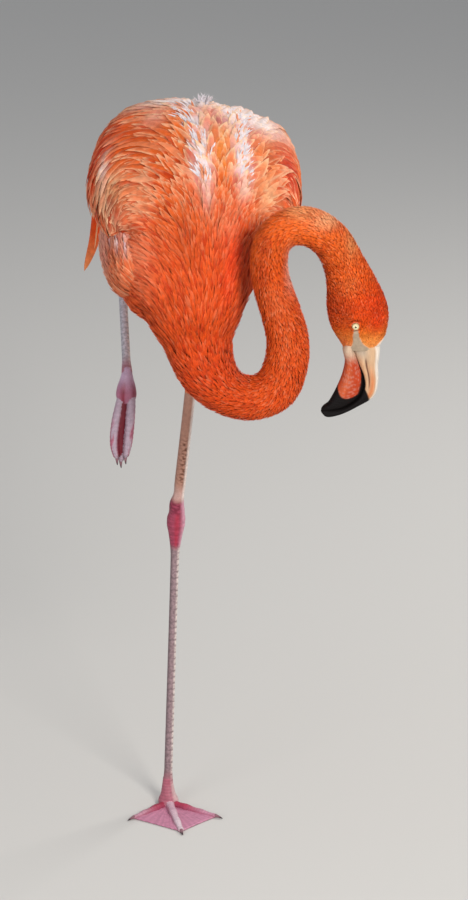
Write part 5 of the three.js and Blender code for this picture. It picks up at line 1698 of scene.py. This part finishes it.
for side, route in (("right", PRIMARIES), ("left", mirrored(PRIMARIES))):
    outward = -1 if side == "right" else 1
    fan(f"primary_feathers_{side}", [shifted(route, (outward * k * 2.5, -k * 6.0, k * 2.0), 1 - 0.05 * k)
                                     for k in range(5)],
        8.0, (outward, 0, 0.5), ["#5a3a38", "#241c1e", "#181416"], 0.15, black_feather, "flight_feathers",
        f"primaries_{side}")


# ---- Floor, light and camera ----

def studio_floor():
    """Uncoated paper, rolled out flat: matt, with a grain that is hardly seen."""
    made, tree = fresh_material("matt_studio_paper")
    where = add_node(tree, "ShaderNodeTexCoord")
    grain = add_node(tree, "ShaderNodeTexNoise", {"Vector": where.outputs["Object"], "Scale": 400,
                                                  "Detail": 2})
    bump = add_node(tree, "ShaderNodeBump",
                    {"Strength": 0.05, "Distance": 0.0005, "Height": grain.outputs["Fac"]})
    shader = add_node(tree, "ShaderNodeBsdfPrincipled", {
        "Base Color": (*linear("#cbc9c4"), 1), "Roughness": 0.85, "Normal": bump.outputs[0]})
    add_node(tree, "ShaderNodeOutputMaterial", {"Surface": shader.outputs[0]})
    reach, level = 20000, -0.3
    corners = [(x * reach, y * reach, level) for x, y in ((-1, -1), (1, -1), (1, 1), (-1, 1))]
    floor = mesh_object("studio_floor", corners, [(0, 1, 2, 3)], np.ones((4, 3)), [made])
    floor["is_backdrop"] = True


def area_light(name, place, aim, size, power, tint):
    light = bpy.data.lights.new(name, "AREA")
    light.shape = "DISK"
    light.size = size
    light.energy = power
    light.color = tint
    made = bpy.data.objects.new(name, light)
    made.location = place
    made.rotation_euler = (Vector(aim) - Vector(place)).to_track_quat("-Z", "Y").to_euler()
    bpy.context.scene.collection.objects.link(made)


studio_floor()
# Lights and camera are placed in metres.
MIDDLE = (0.05, 0, 0.6)
area_light("key_light", (1.2, -2.6, 1.9), MIDDLE, 1.0, 76, (1.0, 0.97, 0.93))
area_light("rim_light", (1.4, 1.5, 2.0), MIDDLE, 0.8, 30, (1.0, 0.97, 0.94))
area_light("fill_light", (-1.6, -2.4, 1.0), MIDDLE, 1.6, 26, (0.96, 0.98, 1.0))
world = bpy.data.worlds.new("studio")
world.use_nodes = True
background = world.node_tree.nodes["Background"]
background.inputs["Color"].default_value = (0.9, 0.93, 1.0, 1)
background.inputs["Strength"].default_value = 0.42
bpy.context.scene.world = world
bpy.context.scene.view_settings.view_transform = "Standard"

CAMERA_DOWN = 19.207       # degrees that the camera looks down
camera = bpy.data.cameras.new("camera")
camera.lens = 168.4
camera.sensor_width = 36
camera_object = bpy.data.objects.new("camera", camera)
camera_object.location = (0.0754, -4.4, 1.959)
camera_object.rotation_euler = (math.radians(90 - CAMERA_DOWN), 0, 0)
bpy.context.scene.collection.objects.link(camera_object)
bpy.context.scene.camera = camera_object

for node_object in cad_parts.values():
    if not node_object.hide_render:
        raise RuntimeError(f"nothing stands for {node_object.name}")

low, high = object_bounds()
{"cad": [list(corner) for corner in cad_box], "visual": [list(low), list(high)]}
